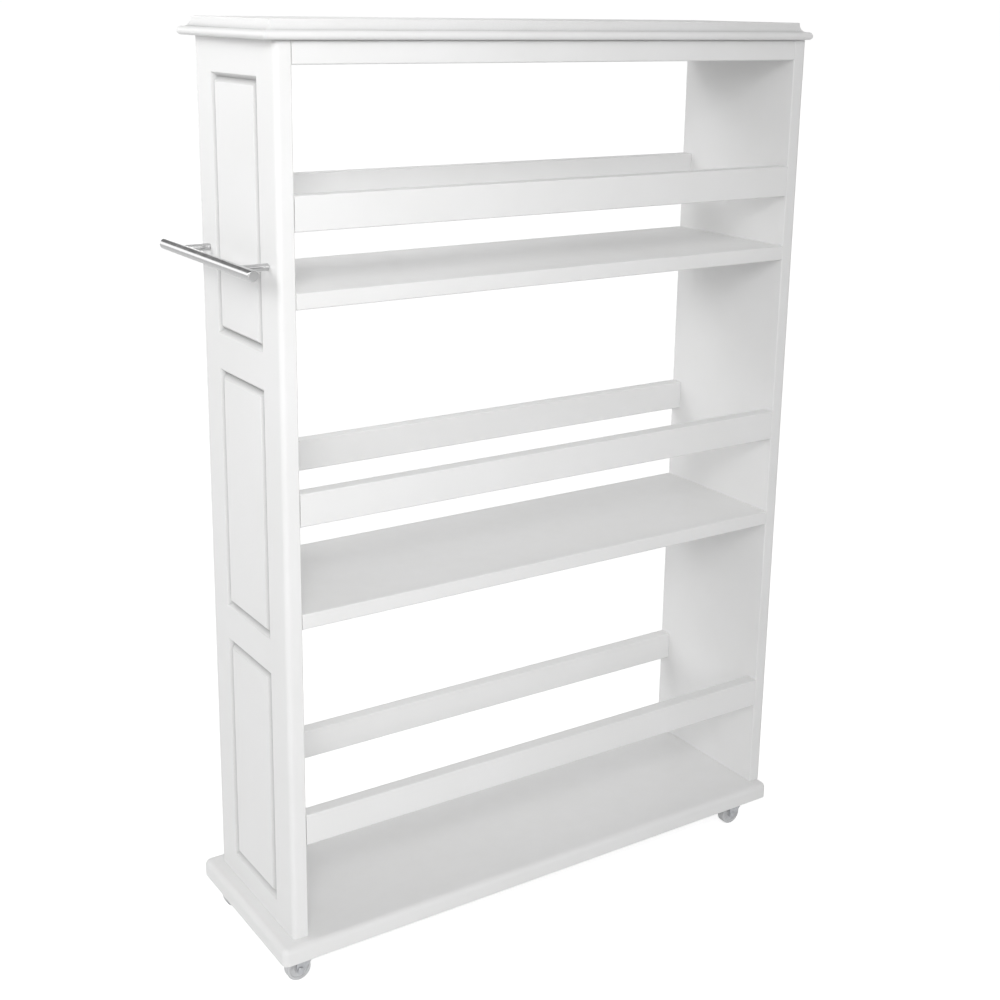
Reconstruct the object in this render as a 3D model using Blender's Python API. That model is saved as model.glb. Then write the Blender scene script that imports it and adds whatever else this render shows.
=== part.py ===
"""Rolling pantry cart: a slim open shelf unit on four swivel casters, pulled out by a bar handle at one end.

The long sides face -Y and +Y, the handle end faces -X, and the wheels stand on Z = 0.
"""

import math

import bmesh
import bpy
from mathutils import Matrix, Vector

# Carcass, in metres. Lengths run along X, depths along Y and heights along Z.
BODY_LENGTH = 0.600
BODY_DEPTH = 0.170
PANEL_HEIGHT = 0.840
PANEL_THICKNESS = 0.016
PANEL_OUTER_RADIUS = 0.005
PANEL_INNER_RADIUS = 0.0015
SHELF_THICKNESS = 0.015
EDGE_RADIUS = 0.0015

# Shelf levels: each shelf's top as a share of the height left above the board below it.
MIDDLE_SHELF_SHARE = 0.3946
UPPER_SHELF_SHARE = 0.5831

# Guard rails: RISE is the clear height between a shelf and the rail above it.
RAIL_THICKNESS = 0.015
RAIL_HEIGHT = 0.0315
TOP_RAIL_HEIGHT = 0.020
LOWER_RAIL_RISE = 0.097
MIDDLE_RAIL_RISE = 0.0835
UPPER_RAIL_RISE = 0.0525
TENON_LENGTH = 0.008
TENON_SHOULDER = 0.0035

# Moulded cap and base board.
CAP_THICKNESS = 0.017
CAP_END_OVERHANG = 0.013
CAP_SIDE_OVERHANG = 0.0085
CAP_NOSE_RADIUS = 0.0038
CAP_QUIRK = 0.0012
CAP_COVE_RADIUS = 0.0045
CAP_EDGE = 0.0006
BASE_THICKNESS = 0.018
BASE_END_OVERHANG = 0.016
BASE_SIDE_OVERHANG = 0.0125
BASE_NOSE_RADIUS = 0.007
BASE_CORNER_RADIUS = 0.010
BASE_EDGE = 0.001

# Routed outlines on the handle end.
GROOVE_COUNT = 3
GROOVE_SIDE_MARGIN = 0.036
GROOVE_TOP_MARGIN = 0.030
GROOVE_BOTTOM_MARGIN = 0.024
GROOVE_SPACING = 0.033
GROOVE_WIDTH = 0.0085
GROOVE_FLOOR = 0.0025
GROOVE_DEPTH = 0.004

# Bar handle, set just above the upper shelf so that its screws can be reached.
HANDLE_RISE = 0.0215
HANDLE_LENGTH = 0.200
HANDLE_PITCH = 0.128
HANDLE_RADIUS = 0.005
HANDLE_CHAMFER = 0.0005
HANDLE_REACH = 0.030
POST_RADIUS = 0.003
POST_THREAD = 0.016
HANDLE_SCREW_RADIUS = 0.0016
HANDLE_SCREW_BITE = 0.012
HANDLE_SCREW_HEAD = 0.004
HANDLE_SCREW_HEAD_HEIGHT = 0.0022

# Casters.
CASTER_END_INSET = 0.0305
CASTER_SIDE_INSET = 0.0235
CASTER_TRAIL = 0.006
WHEEL_RADIUS = 0.0125
WHEEL_WIDTH = 0.010
WHEEL_HEADROOM = 0.0016
HUB_RADIUS = 0.0042
HUB_STEP = 0.0007
AXLE_RADIUS = 0.002
AXLE_HEAD_RADIUS = 0.0034
AXLE_HEAD = 0.001
PLATE_LENGTH = 0.036
PLATE_WIDTH = 0.030
PLATE_THICKNESS = 0.0015
PLATE_CORNER = 0.004
PLATE_HOLE_RADIUS = 0.002
PLATE_HOLE_INSET = 0.0045
RACE_RADIUS = 0.008
RACE_HEIGHT = 0.0018
PIN_RADIUS = 0.0028
PIN_HEAD_RADIUS = 0.004
PIN_HEAD = 0.0008
FORK_GAUGE = 0.0015
FORK_LENGTH = 0.019
FORK_EYE_RADIUS = 0.0045

# Fixings.
SCREW_RADIUS = 0.003
SCREW_HEAD_RADIUS = 0.005
SCREW_HEAD = 0.003
SCREW_LENGTH = 0.050
SCREW_INSET = 0.050
DOWEL_RADIUS = 0.004
DOWEL_LENGTH = 0.030
DOWEL_BITE = 0.0105
DOWEL_CHAMFER = 0.001
CAP_DOWEL_INSET = 0.040
SHELF_FIXING_OFFSET = 0.030
CAM_RADIUS = 0.0073
CAM_ROOF = 0.0032
CAM_SETBACK = 0.024
CAM_SLOT_WIDTH = 0.0016
CAM_SLOT_DEPTH = 0.0025
CAM_BOLT_RADIUS = 0.003
CAM_BOLT_THREAD_RADIUS = 0.0024
CAM_BOLT_NECK_RADIUS = 0.0018
CAM_BOLT_BITE = 0.0105

GAP = 0.0003
RUNNING_GAP = 0.0003
OVERCUT = 0.002
ROUND_STEPS = 24
SMALL_STEPS = 12
ARC_STEPS = 4

# Levels and faces that follow from the sizes above.
LEFT = -(BODY_LENGTH - HANDLE_REACH - HANDLE_RADIUS) / 2
RIGHT = LEFT + BODY_LENGTH
FRONT = -BODY_DEPTH / 2
BACK = BODY_DEPTH / 2
CAM_HEIGHT = SHELF_THICKNESS - CAM_ROOF
CASTER_STACK = FORK_GAUGE + RUNNING_GAP + RACE_HEIGHT + PLATE_THICKNESS + GAP
CASTER_HEIGHT = 2 * WHEEL_RADIUS + WHEEL_HEADROOM + CASTER_STACK
BASE_TOP = CASTER_HEIGHT + BASE_THICKNESS
PANEL_BOTTOM = BASE_TOP + GAP
PANEL_TOP = PANEL_BOTTOM + PANEL_HEIGHT
CAP_BOTTOM = PANEL_TOP + GAP
BAY_LEFT = LEFT + PANEL_THICKNESS
BAY_RIGHT = RIGHT - PANEL_THICKNESS
HUB_WIDTH = WHEEL_WIDTH + 2 * HUB_STEP
FORK_INNER = HUB_WIDTH / 2 + RUNNING_GAP
FORK_OUTER = FORK_INNER + FORK_GAUGE
PLATE_TOP = CASTER_HEIGHT - GAP
RACE_BOTTOM = PLATE_TOP - PLATE_THICKNESS - RACE_HEIGHT
FORK_TOP = RACE_BOTTOM - RUNNING_GAP

MIDDLE_SHELF_RISE = PANEL_HEIGHT * MIDDLE_SHELF_SHARE
UPPER_SHELF_RISE = MIDDLE_SHELF_RISE + (PANEL_HEIGHT - MIDDLE_SHELF_RISE) * UPPER_SHELF_SHARE
SHELF_TOPS = {"middle": BASE_TOP + MIDDLE_SHELF_RISE, "upper": BASE_TOP + UPPER_SHELF_RISE}
HANDLE_Z = SHELF_TOPS["upper"] + HANDLE_RISE
RAIL_BOTTOMS = {
    "lower": BASE_TOP + LOWER_RAIL_RISE,
    "middle": SHELF_TOPS["middle"] + MIDDLE_RAIL_RISE,
    "upper": SHELF_TOPS["upper"] + UPPER_RAIL_RISE,
}
SIDES = {"front": -1, "back": 1}
ENDS = {"left": -1, "right": 1}


# Materials.


def principled(name, colour, roughness, metallic=0.0):
    """A plain Principled material."""
    material = bpy.data.materials.new(name)
    material.use_nodes = True
    shader = material.node_tree.nodes["Principled BSDF"]
    shader.inputs["Base Color"].default_value = (*colour, 1.0)
    shader.inputs["Roughness"].default_value = roughness
    shader.inputs["Metallic"].default_value = metallic
    return material


def white_paint(name):
    """Satin white paint over fibreboard."""
    return principled(name, (0.86, 0.86, 0.85), 0.42)


def brushed_steel(name):
    """Fine-brushed stainless steel of the handle."""
    return principled(name, (0.66, 0.66, 0.67), 0.28, 1.0)


def zinc_plate(name):
    """Bright zinc plating of the caster stampings and the screws."""
    return principled(name, (0.58, 0.59, 0.61), 0.34, 1.0)


def cast_zinc(name):
    """Dull die-cast zinc of the cam locks."""
    return principled(name, (0.46, 0.46, 0.47), 0.50, 1.0)


def grey_nylon(name):
    """Pale grey moulded wheel."""
    return principled(name, (0.60, 0.61, 0.63), 0.45)


def beech(name):
    """Raw beech of the dowels."""
    return principled(name, (0.66, 0.48, 0.30), 0.70)


# Shape helpers. Each one adds a closed solid to a bmesh.


def add_box(bm, low, high):
    """Adds a box between two corners and returns its vertices."""
    low = Vector(low)
    high = Vector(high)
    size = high - low
    matrix = Matrix.Translation((low + high) / 2) @ Matrix.Diagonal((*size, 1.0))
    return bmesh.ops.create_cube(bm, size=1.0, matrix=matrix)["verts"]


def add_turned(bm, profile, centre, axis, steps=ROUND_STEPS, bored=False):
    """Spins (radius, distance along the axis) points right round; a bored profile closes on itself."""
    along = Vector(axis).normalized()
    outward = along.orthogonal().normalized()
    centre = Vector(centre)
    points = list(profile)
    if not bored:
        points = [(0.0, points[0][1])] + points + [(0.0, points[-1][1])]
    verts = [bm.verts.new(centre + outward * radius + along * distance) for radius, distance in points]
    edges = [bm.edges.new(pair) for pair in zip(verts, verts[1:])]
    if bored:
        edges.append(bm.edges.new((verts[-1], verts[0])))
    before = set(bm.verts) - set(verts)
    bmesh.ops.spin(
        bm, geom=verts + edges, cent=centre, axis=along, angle=math.tau, steps=steps, use_merge=True
    )
    made = [vert for vert in bm.verts if vert not in before]
    bmesh.ops.remove_doubles(bm, verts=made, dist=1e-6)


def add_prism(bm, outline, direction):
    """Extrudes a flat outline, given as 3-D points, along a direction."""
    face = bm.faces.new([bm.verts.new(point) for point in outline])
    made = bmesh.ops.extrude_face_region(bm, geom=[face], use_keep_orig=True)["geom"]
    moved = [item for item in made if isinstance(item, bmesh.types.BMVert)]
    bmesh.ops.translate(bm, verts=moved, vec=direction)


def along_axis(edge, axis):
    """True for an edge that runs along X (0), Y (1) or Z (2)."""
    span = edge.verts[1].co - edge.verts[0].co
    return abs(span[axis]) > 0.999 * span.length


def round_edges(bm, edges, radius, segments=ARC_STEPS):
    """Rounds edges with a true arc."""
    bmesh.ops.bevel(
        bm,
        geom=list(edges),
        offset=radius,
        offset_type="OFFSET",
        segments=segments,
        profile=0.5,
        affect="EDGES",
        clamp_overlap=True,
        material=-1,
    )


def face_towards(bm, direction):
    """The face that lies furthest in a direction."""
    direction = Vector(direction)
    bm.normal_update()
    facing = [face for face in bm.faces if face.normal.dot(direction) > 0.99]
    return max(facing, key=lambda face: face.calc_center_median().dot(direction))


def mould(bm, face, steps):
    """Steps a face inwards and outwards along its normal: each step is (inset, rise)."""
    for inset, rise in steps:
        bmesh.ops.inset_region(bm, faces=[face], thickness=inset, depth=rise, use_even_offset=True)


def arc_steps(radius, hollow=False, steps=ARC_STEPS):
    """(inset, rise) steps of a quarter round that leaves a vertical wall, or of a quarter hollow."""
    angles = [math.pi / 2 * index / steps for index in range(steps + 1)]
    if hollow:
        points = [(radius * math.sin(angle), radius * (1 - math.cos(angle))) for angle in angles]
    else:
        points = [(radius * (1 - math.cos(angle)), radius * math.sin(angle)) for angle in angles]
    return [(b[0] - a[0], b[1] - a[1]) for a, b in zip(points, points[1:])]


# Object helpers.


def finish(name, bm, material, origin=(0.0, 0.0, 0.0), flat_angle=35.0):
    """Turns a bmesh in world coordinates into an object whose origin lies at the given point."""
    bmesh.ops.recalc_face_normals(bm, faces=bm.faces)
    if bm.calc_volume(signed=True) < 0:
        bmesh.ops.reverse_faces(bm, faces=bm.faces)
    bmesh.ops.translate(bm, verts=bm.verts, vec=-Vector(origin))
    mesh = bpy.data.meshes.new(name)
    bm.to_mesh(mesh)
    bm.free()
    mesh.shade_smooth()
    mesh.set_sharp_from_angle(angle=math.radians(flat_angle))
    if material:
        mesh.materials.append(material)
    obj = bpy.data.objects.new(name, mesh)
    obj.location = origin
    bpy.context.scene.collection.objects.link(obj)
    return obj


def combine(obj, bm, operation):
    """Adds a Boolean between an object and the solids of a bmesh, kept as a hidden tool object."""
    tool = finish(f"{obj.name}_{operation.lower()}_tool", bm, None, origin=obj.location)
    tool.hide_render = True
    tool.display_type = "WIRE"
    modifier = obj.modifiers.new(operation.title(), "BOOLEAN")
    modifier.operation = operation
    modifier.solver = "EXACT"
    modifier.object = tool
    return tool


def bake(obj, tools):
    """Replaces an object's mesh by its evaluated shape, so that copies can share it."""
    bpy.context.view_layer.update()
    graph = bpy.context.evaluated_depsgraph_get()
    mesh = bpy.data.meshes.new_from_object(obj.evaluated_get(graph))
    obj.modifiers.clear()
    obj.data = mesh
    for tool in tools:
        bpy.data.objects.remove(tool)


# Places that two pieces share.


def rail_boxes():
    """(name, low corner, high corner) of every rail, shoulder to shoulder."""
    boxes = []
    for side, sign in SIDES.items():
        outer = sign * BODY_DEPTH / 2
        inner = sign * (BODY_DEPTH / 2 - RAIL_THICKNESS)
        near, far = min(outer, inner), max(outer, inner)
        for level, bottom in RAIL_BOTTOMS.items():
            boxes.append((f"{level}_{side}_rail", near, far, bottom, bottom + RAIL_HEIGHT))
        boxes.append((f"top_{side}_rail", near, far, PANEL_TOP - TOP_RAIL_HEIGHT, PANEL_TOP))
    return boxes


def shelf_fixings():
    """(shelf, end, sign, height) of every shelf end."""
    for level, top in SHELF_TOPS.items():
        for end, sign in ENDS.items():
            yield level, end, sign, top - SHELF_THICKNESS / 2


def end_screw_places():
    """(end, side, x, y) of the screws that hold the base board to the end panels."""
    for end, sign in ENDS.items():
        x = LEFT + PANEL_THICKNESS / 2 if sign < 0 else RIGHT - PANEL_THICKNESS / 2
        for side, across in SIDES.items():
            yield end, side, x, across * (BODY_DEPTH / 2 - SCREW_INSET)


def cap_dowel_places():
    """(end, side, x, y) of the dowels between the end panels and the cap."""
    for end, side, x, y in end_screw_places():
        yield end, side, x, math.copysign(BODY_DEPTH / 2 - CAP_DOWEL_INSET, y)


def caster_places():
    """(name, x, y) of the four swivel axes."""
    left = LEFT - BASE_END_OVERHANG + CASTER_END_INSET
    right = RIGHT - CASTER_END_INSET
    across = BODY_DEPTH / 2 + BASE_SIDE_OVERHANG - CASTER_SIDE_INSET
    for end, x in (("left", left), ("right", right)):
        for side, sign in SIDES.items():
            yield f"{side}_{end}", x, sign * across


def bay_face(sign):
    """The X of the inner face of an end panel."""
    return BAY_LEFT if sign < 0 else BAY_RIGHT


# Carcass boards.


def add_end_sockets(bm, sign):
    """Mortises, dowel bores, bolt bores and screw bores of one end panel."""
    face = bay_face(sign)
    for _, near, far, bottom, top in rail_boxes():
        reach = face + sign * (TENON_LENGTH + GAP)
        mouth = face - sign * OVERCUT
        margin = TENON_SHOULDER - GAP
        add_box(
            bm,
            (min(reach, mouth), near + margin, bottom + margin),
            (max(reach, mouth), far - margin, top - margin),
        )
    outward = (sign, 0.0, 0.0)
    for _, _, shelf_sign, height in shelf_fixings():
        if shelf_sign != sign:
            continue
        bolt = [(CAM_BOLT_THREAD_RADIUS + GAP, -OVERCUT), (CAM_BOLT_THREAD_RADIUS + GAP, CAM_BOLT_BITE + GAP)]
        dowel = [(DOWEL_RADIUS + GAP, -OVERCUT), (DOWEL_RADIUS + GAP, DOWEL_BITE + GAP)]
        add_turned(bm, bolt, (face, -SHELF_FIXING_OFFSET, height), outward, SMALL_STEPS)
        add_turned(bm, dowel, (face, SHELF_FIXING_OFFSET, height), outward, SMALL_STEPS)
    for _, _, x, y in end_screw_places():
        if (x - (LEFT + RIGHT) / 2) * sign > 0:
            depth = SCREW_LENGTH - BASE_THICKNESS + OVERCUT
            bore = [(SCREW_RADIUS + GAP, -OVERCUT), (SCREW_RADIUS + GAP, depth)]
            add_turned(bm, bore, (x, y, PANEL_BOTTOM), (0, 0, 1), SMALL_STEPS)
    for _, _, x, y in cap_dowel_places():
        if (x - (LEFT + RIGHT) / 2) * sign > 0:
            depth = DOWEL_LENGTH - DOWEL_BITE + GAP
            bore = [(DOWEL_RADIUS + GAP, -OVERCUT), (DOWEL_RADIUS + GAP, depth)]
            add_turned(bm, bore, (x, y, PANEL_TOP), (0, 0, -1), SMALL_STEPS)


def end_panel_blank(name, sign):
    """An end panel whose outer upright corners are rounder than its inner ones."""
    outer = LEFT if sign < 0 else RIGHT
    inner = bay_face(sign)
    bm = bmesh.new()
    add_box(bm, (min(outer, inner), FRONT, PANEL_BOTTOM), (max(outer, inner), BACK, PANEL_TOP))
    upright = [edge for edge in bm.edges if along_axis(edge, 2)]
    outside = [edge for edge in upright if abs(edge.verts[0].co.x - outer) < 1e-6]
    inside = [edge for edge in upright if edge not in outside]
    round_edges(bm, inside, PANEL_INNER_RADIUS, 2)
    outside = [
        edge for edge in bm.edges if along_axis(edge, 2) and abs(edge.verts[0].co.x - outer) < 1e-6
    ]
    round_edges(bm, outside, PANEL_OUTER_RADIUS)
    return finish(name, bm, white_paint(f"{name}_paint"))


def add_groove(bm, low, high):
    """The solid that a moulding cutter sweeps round one routed rectangle of the handle end."""
    half = GROOVE_WIDTH / 2
    floor = GROOVE_FLOOR / 2
    section = [(-half, 0.0), (-floor, GROOVE_DEPTH), (floor, GROOVE_DEPTH), (half, 0.0)]
    lift = OVERCUT * (half - floor) / GROOVE_DEPTH
    section[0] = (-half - lift, -OVERCUT)
    section[3] = (half + lift, -OVERCUT)
    loops = []
    for y_sign, z_sign in ((-1, -1), (1, -1), (1, 1), (-1, 1)):
        corner_y = low[0] if y_sign < 0 else high[0]
        corner_z = low[1] if z_sign < 0 else high[1]
        verts = [
            bm.verts.new((LEFT + depth, corner_y - y_sign * offset, corner_z - z_sign * offset))
            for offset, depth in section
        ]
        loops.append([bm.edges.new((verts[i], verts[(i + 1) % 4])) for i in range(4)])
    for first, second in zip(loops, loops[1:] + loops[:1]):
        bmesh.ops.bridge_loops(bm, edges=first + second)


def make_end_panels():
    """Both end panels, with the routed rectangles and the handle screw bores on the handle end."""
    for end, sign in ENDS.items():
        panel = end_panel_blank(f"{end}_end_panel", sign)
        tools = bmesh.new()
        add_end_sockets(tools, sign)
        if sign < 0:
            margins = GROOVE_TOP_MARGIN + GROOVE_BOTTOM_MARGIN
            field = (PANEL_HEIGHT - margins - (GROOVE_COUNT - 1) * GROOVE_SPACING) / GROOVE_COUNT
            for index in range(GROOVE_COUNT):
                bottom = PANEL_BOTTOM + GROOVE_BOTTOM_MARGIN + index * (field + GROOVE_SPACING)
                low = (FRONT + GROOVE_SIDE_MARGIN, bottom)
                high = (BACK - GROOVE_SIDE_MARGIN, bottom + field)
                add_groove(tools, low, high)
            for across in SIDES.values():
                bore = [
                    (HANDLE_SCREW_RADIUS + GAP, -OVERCUT),
                    (HANDLE_SCREW_RADIUS + GAP, PANEL_THICKNESS + OVERCUT),
                ]
                add_turned(tools, bore, (LEFT, across * HANDLE_PITCH / 2, HANDLE_Z), (1, 0, 0), SMALL_STEPS)
        combine(panel, tools, "DIFFERENCE")


def make_rails():
    """Every guard rail and top rail, with a stub tenon at each end."""
    for name, near, far, bottom, top in rail_boxes():
        bm = bmesh.new()
        add_box(bm, (BAY_LEFT + GAP, near, bottom), (BAY_RIGHT - GAP, far, top))
        arrises = [edge for edge in bm.edges if along_axis(edge, 0)]
        for direction in ((1, 0, 0), (-1, 0, 0)):
            end = face_towards(bm, direction)
            bmesh.ops.inset_region(bm, faces=[end], thickness=TENON_SHOULDER, use_even_offset=True)
            made = bmesh.ops.extrude_face_region(bm, geom=[end])["geom"]
            moved = [item for item in made if isinstance(item, bmesh.types.BMVert)]
            bmesh.ops.delete(bm, geom=[end], context="FACES_ONLY")
            bmesh.ops.translate(bm, verts=moved, vec=Vector(direction) * TENON_LENGTH)
        round_edges(bm, arrises, EDGE_RADIUS, 2)
        finish(name, bm, white_paint(f"{name}_paint"))


def make_shelves():
    """The two loose shelves, bored for a dowel and a cam lock at each end."""
    for level, top in SHELF_TOPS.items():
        bm = bmesh.new()
        add_box(
            bm, (BAY_LEFT + GAP, FRONT, top - SHELF_THICKNESS), (BAY_RIGHT - GAP, BACK, top)
        )
        round_edges(bm, [edge for edge in bm.edges if along_axis(edge, 0)], EDGE_RADIUS, 2)
        shelf = finish(f"{level}_shelf", bm, white_paint(f"{level}_shelf_paint"))
        bores = bmesh.new()
        pockets = bmesh.new()
        for shelf_level, _, sign, height in shelf_fixings():
            if shelf_level == level:
                add_shelf_bores(bores, pockets, sign, height)
        combine(shelf, bores, "DIFFERENCE")
        combine(shelf, pockets, "DIFFERENCE")


def add_shelf_bores(bores, pockets, sign, height):
    """The dowel and bolt bores of a shelf end, and the cam pocket that opens underneath."""
    face = bay_face(sign)
    inward = (-sign, 0.0, 0.0)
    dowel = [(DOWEL_RADIUS + GAP, -OVERCUT), (DOWEL_RADIUS + GAP, DOWEL_LENGTH - DOWEL_BITE + GAP)]
    add_turned(bores, dowel, (face, SHELF_FIXING_OFFSET, height), inward, SMALL_STEPS)
    bolt = [(CAM_BOLT_RADIUS + GAP, -OVERCUT), (CAM_BOLT_RADIUS + GAP, CAM_SETBACK)]
    add_turned(bores, bolt, (face, -SHELF_FIXING_OFFSET, height), inward, SMALL_STEPS)
    centre = (face - sign * CAM_SETBACK, -SHELF_FIXING_OFFSET, height - SHELF_THICKNESS / 2)
    pocket = [(CAM_RADIUS + GAP, -OVERCUT), (CAM_RADIUS + GAP, CAM_HEIGHT + GAP)]
    add_turned(pockets, pocket, centre, (0, 0, 1))


def make_cap():
    """The moulded cap: a rounded nose, a quirk, a hollow and a square upper edge."""
    bm = bmesh.new()
    waist = CAP_BOTTOM + CAP_NOSE_RADIUS
    flat = CAP_THICKNESS - 2 * CAP_NOSE_RADIUS - CAP_COVE_RADIUS - CAP_EDGE
    straight = flat / 4
    add_box(
        bm,
        (LEFT - CAP_END_OVERHANG, FRONT - CAP_SIDE_OVERHANG, waist),
        (RIGHT, BACK + CAP_SIDE_OVERHANG, waist + straight),
    )
    bmesh.ops.recalc_face_normals(bm, faces=bm.faces)
    mould(bm, face_towards(bm, (0, 0, -1)), arc_steps(CAP_NOSE_RADIUS))
    top = face_towards(bm, (0, 0, 1))
    upper = arc_steps(CAP_NOSE_RADIUS) + [(CAP_QUIRK, 0.0)] + arc_steps(CAP_COVE_RADIUS, hollow=True)
    mould(bm, top, upper + [(0.0, flat - straight), (CAP_EDGE, CAP_EDGE)])
    cap = finish("cap_board", bm, white_paint("cap_board_paint"), flat_angle=25.0)
    tools = bmesh.new()
    for _, _, x, y in cap_dowel_places():
        bore = [(DOWEL_RADIUS + GAP, -OVERCUT), (DOWEL_RADIUS + GAP, DOWEL_BITE + GAP)]
        add_turned(tools, bore, (x, y, CAP_BOTTOM), (0, 0, 1), SMALL_STEPS)
    combine(cap, tools, "DIFFERENCE")


def make_base():
    """The base board, which is also the lowest shelf, with a rounded upper edge."""
    bm = bmesh.new()
    low = (LEFT - BASE_END_OVERHANG, FRONT - BASE_SIDE_OVERHANG, CASTER_HEIGHT + BASE_EDGE)
    high = (RIGHT, BACK + BASE_SIDE_OVERHANG, BASE_TOP - BASE_NOSE_RADIUS)
    add_box(bm, low, high)
    round_edges(bm, [edge for edge in bm.edges if along_axis(edge, 2)], BASE_CORNER_RADIUS)
    bmesh.ops.recalc_face_normals(bm, faces=bm.faces)
    mould(bm, face_towards(bm, (0, 0, -1)), [(BASE_EDGE, BASE_EDGE)])
    mould(bm, face_towards(bm, (0, 0, 1)), arc_steps(BASE_NOSE_RADIUS))
    base = finish("base_board", bm, white_paint("base_board_paint"), flat_angle=25.0)
    tools = bmesh.new()
    for _, _, x, y in end_screw_places():
        head = SCREW_HEAD_RADIUS + GAP
        shank = SCREW_RADIUS + GAP
        bore = [(head, -OVERCUT), (head, GAP), (shank, SCREW_HEAD + GAP), (shank, BASE_THICKNESS + OVERCUT)]
        add_turned(tools, bore, (x, y, CASTER_HEIGHT), (0, 0, 1), SMALL_STEPS)
    combine(base, tools, "DIFFERENCE")


# Fixings.


def make_base_screws():
    """Countersunk screws that run up through the base board into the end panels."""
    for end, side, x, y in end_screw_places():
        name = f"base_screw_{side}_{end}"
        bm = bmesh.new()
        profile = [
            (SCREW_HEAD_RADIUS, GAP),
            (SCREW_HEAD_RADIUS, 2 * GAP),
            (SCREW_RADIUS, SCREW_HEAD),
            (SCREW_RADIUS, SCREW_LENGTH - SCREW_RADIUS),
            (SCREW_RADIUS / 3, SCREW_LENGTH),
        ]
        add_turned(bm, profile, (x, y, CASTER_HEIGHT), (0, 0, 1), SMALL_STEPS)
        finish(name, bm, zinc_plate(f"{name}_zinc"))


def dowel_profile():
    """A chamfered dowel that starts at zero."""
    small = DOWEL_RADIUS - DOWEL_CHAMFER
    return [
        (small, 0.0),
        (DOWEL_RADIUS, DOWEL_CHAMFER),
        (DOWEL_RADIUS, DOWEL_LENGTH - DOWEL_CHAMFER),
        (small, DOWEL_LENGTH),
    ]


def make_dowels():
    """Dowels between the end panels and the cap, and between the end panels and the shelves."""
    for end, side, x, y in cap_dowel_places():
        name = f"cap_dowel_{side}_{end}"
        bm = bmesh.new()
        start = (x, y, CAP_BOTTOM + DOWEL_BITE - DOWEL_LENGTH)
        add_turned(bm, dowel_profile(), start, (0, 0, 1), SMALL_STEPS)
        finish(name, bm, beech(f"{name}_wood"))
    for level, end, sign, height in shelf_fixings():
        name = f"{level}_shelf_dowel_{end}"
        bm = bmesh.new()
        start = (bay_face(sign) + sign * DOWEL_BITE, SHELF_FIXING_OFFSET, height)
        add_turned(bm, dowel_profile(), start, (-sign, 0, 0), SMALL_STEPS)
        finish(name, bm, beech(f"{name}_wood"))


def make_cam_locks():
    """A bolt in each end panel and the cam in the shelf that draws it tight."""
    for level, end, sign, height in shelf_fixings():
        face = bay_face(sign)
        name = f"{level}_shelf_cam_bolt_{end}"
        bm = bmesh.new()
        neck = CAM_SETBACK - CAM_RADIUS - GAP
        profile = [
            (CAM_BOLT_THREAD_RADIUS, -CAM_BOLT_BITE),
            (CAM_BOLT_THREAD_RADIUS, 0.0),
            (CAM_BOLT_RADIUS, GAP),
            (CAM_BOLT_RADIUS, neck),
            (CAM_BOLT_NECK_RADIUS, neck + CAM_BOLT_RADIUS - CAM_BOLT_NECK_RADIUS),
            (CAM_BOLT_NECK_RADIUS, CAM_SETBACK - CAM_BOLT_RADIUS),
            (CAM_BOLT_RADIUS, CAM_SETBACK - CAM_BOLT_NECK_RADIUS),
            (CAM_BOLT_RADIUS, CAM_SETBACK),
        ]
        add_turned(bm, profile, (face, -SHELF_FIXING_OFFSET, height), (-sign, 0, 0), SMALL_STEPS)
        finish(name, bm, zinc_plate(f"{name}_zinc"))
        make_cam(f"{level}_shelf_cam_{end}", sign, height)


def make_cam(name, sign, height):
    """A cam disc, open on the side where its bolt enters and slotted underneath for a screwdriver."""
    underside = height - SHELF_THICKNESS / 2
    x = bay_face(sign) - sign * CAM_SETBACK
    centre = (x, -SHELF_FIXING_OFFSET, underside)
    bm = bmesh.new()
    add_turned(bm, [(CAM_RADIUS, 0.0), (CAM_RADIUS, CAM_HEIGHT)], centre, (0, 0, 1))
    cam = finish(name, bm, cast_zinc(f"{name}_zinc"), origin=centre)
    tools = bmesh.new()
    mouth = CAM_BOLT_RADIUS + 2 * GAP
    entry = [(mouth, -OVERCUT - CAM_RADIUS), (mouth, GAP * 2)]
    add_turned(tools, entry, (x, -SHELF_FIXING_OFFSET, height), (-sign, 0, 0), SMALL_STEPS)
    half = CAM_SLOT_WIDTH / 2
    add_box(
        tools,
        (x - CAM_RADIUS * 0.75, -SHELF_FIXING_OFFSET - half, underside - OVERCUT),
        (x + CAM_RADIUS * 0.75, -SHELF_FIXING_OFFSET + half, underside + CAM_SLOT_DEPTH - GAP),
    )
    combine(cam, tools, "DIFFERENCE")


# Handle.


def make_handle():
    """The round bar, its two posts and the screws that hold the posts from inside."""
    bar_x = LEFT - HANDLE_REACH
    bm = bmesh.new()
    end = HANDLE_LENGTH / 2
    small = HANDLE_RADIUS - HANDLE_CHAMFER
    profile = [
        (small, -end),
        (HANDLE_RADIUS, HANDLE_CHAMFER - end),
        (HANDLE_RADIUS, end - HANDLE_CHAMFER),
        (small, end),
    ]
    add_turned(bm, profile, (bar_x, 0.0, HANDLE_Z), (0, 1, 0))
    finish("handle_bar", bm, brushed_steel("handle_bar_steel"), origin=(bar_x, 0.0, HANDLE_Z))
    for side, sign in SIDES.items():
        make_post(f"handle_post_{side}", sign * HANDLE_PITCH / 2, bar_x)
        make_handle_screw(f"handle_screw_{side}", sign * HANDLE_PITCH / 2)


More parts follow.
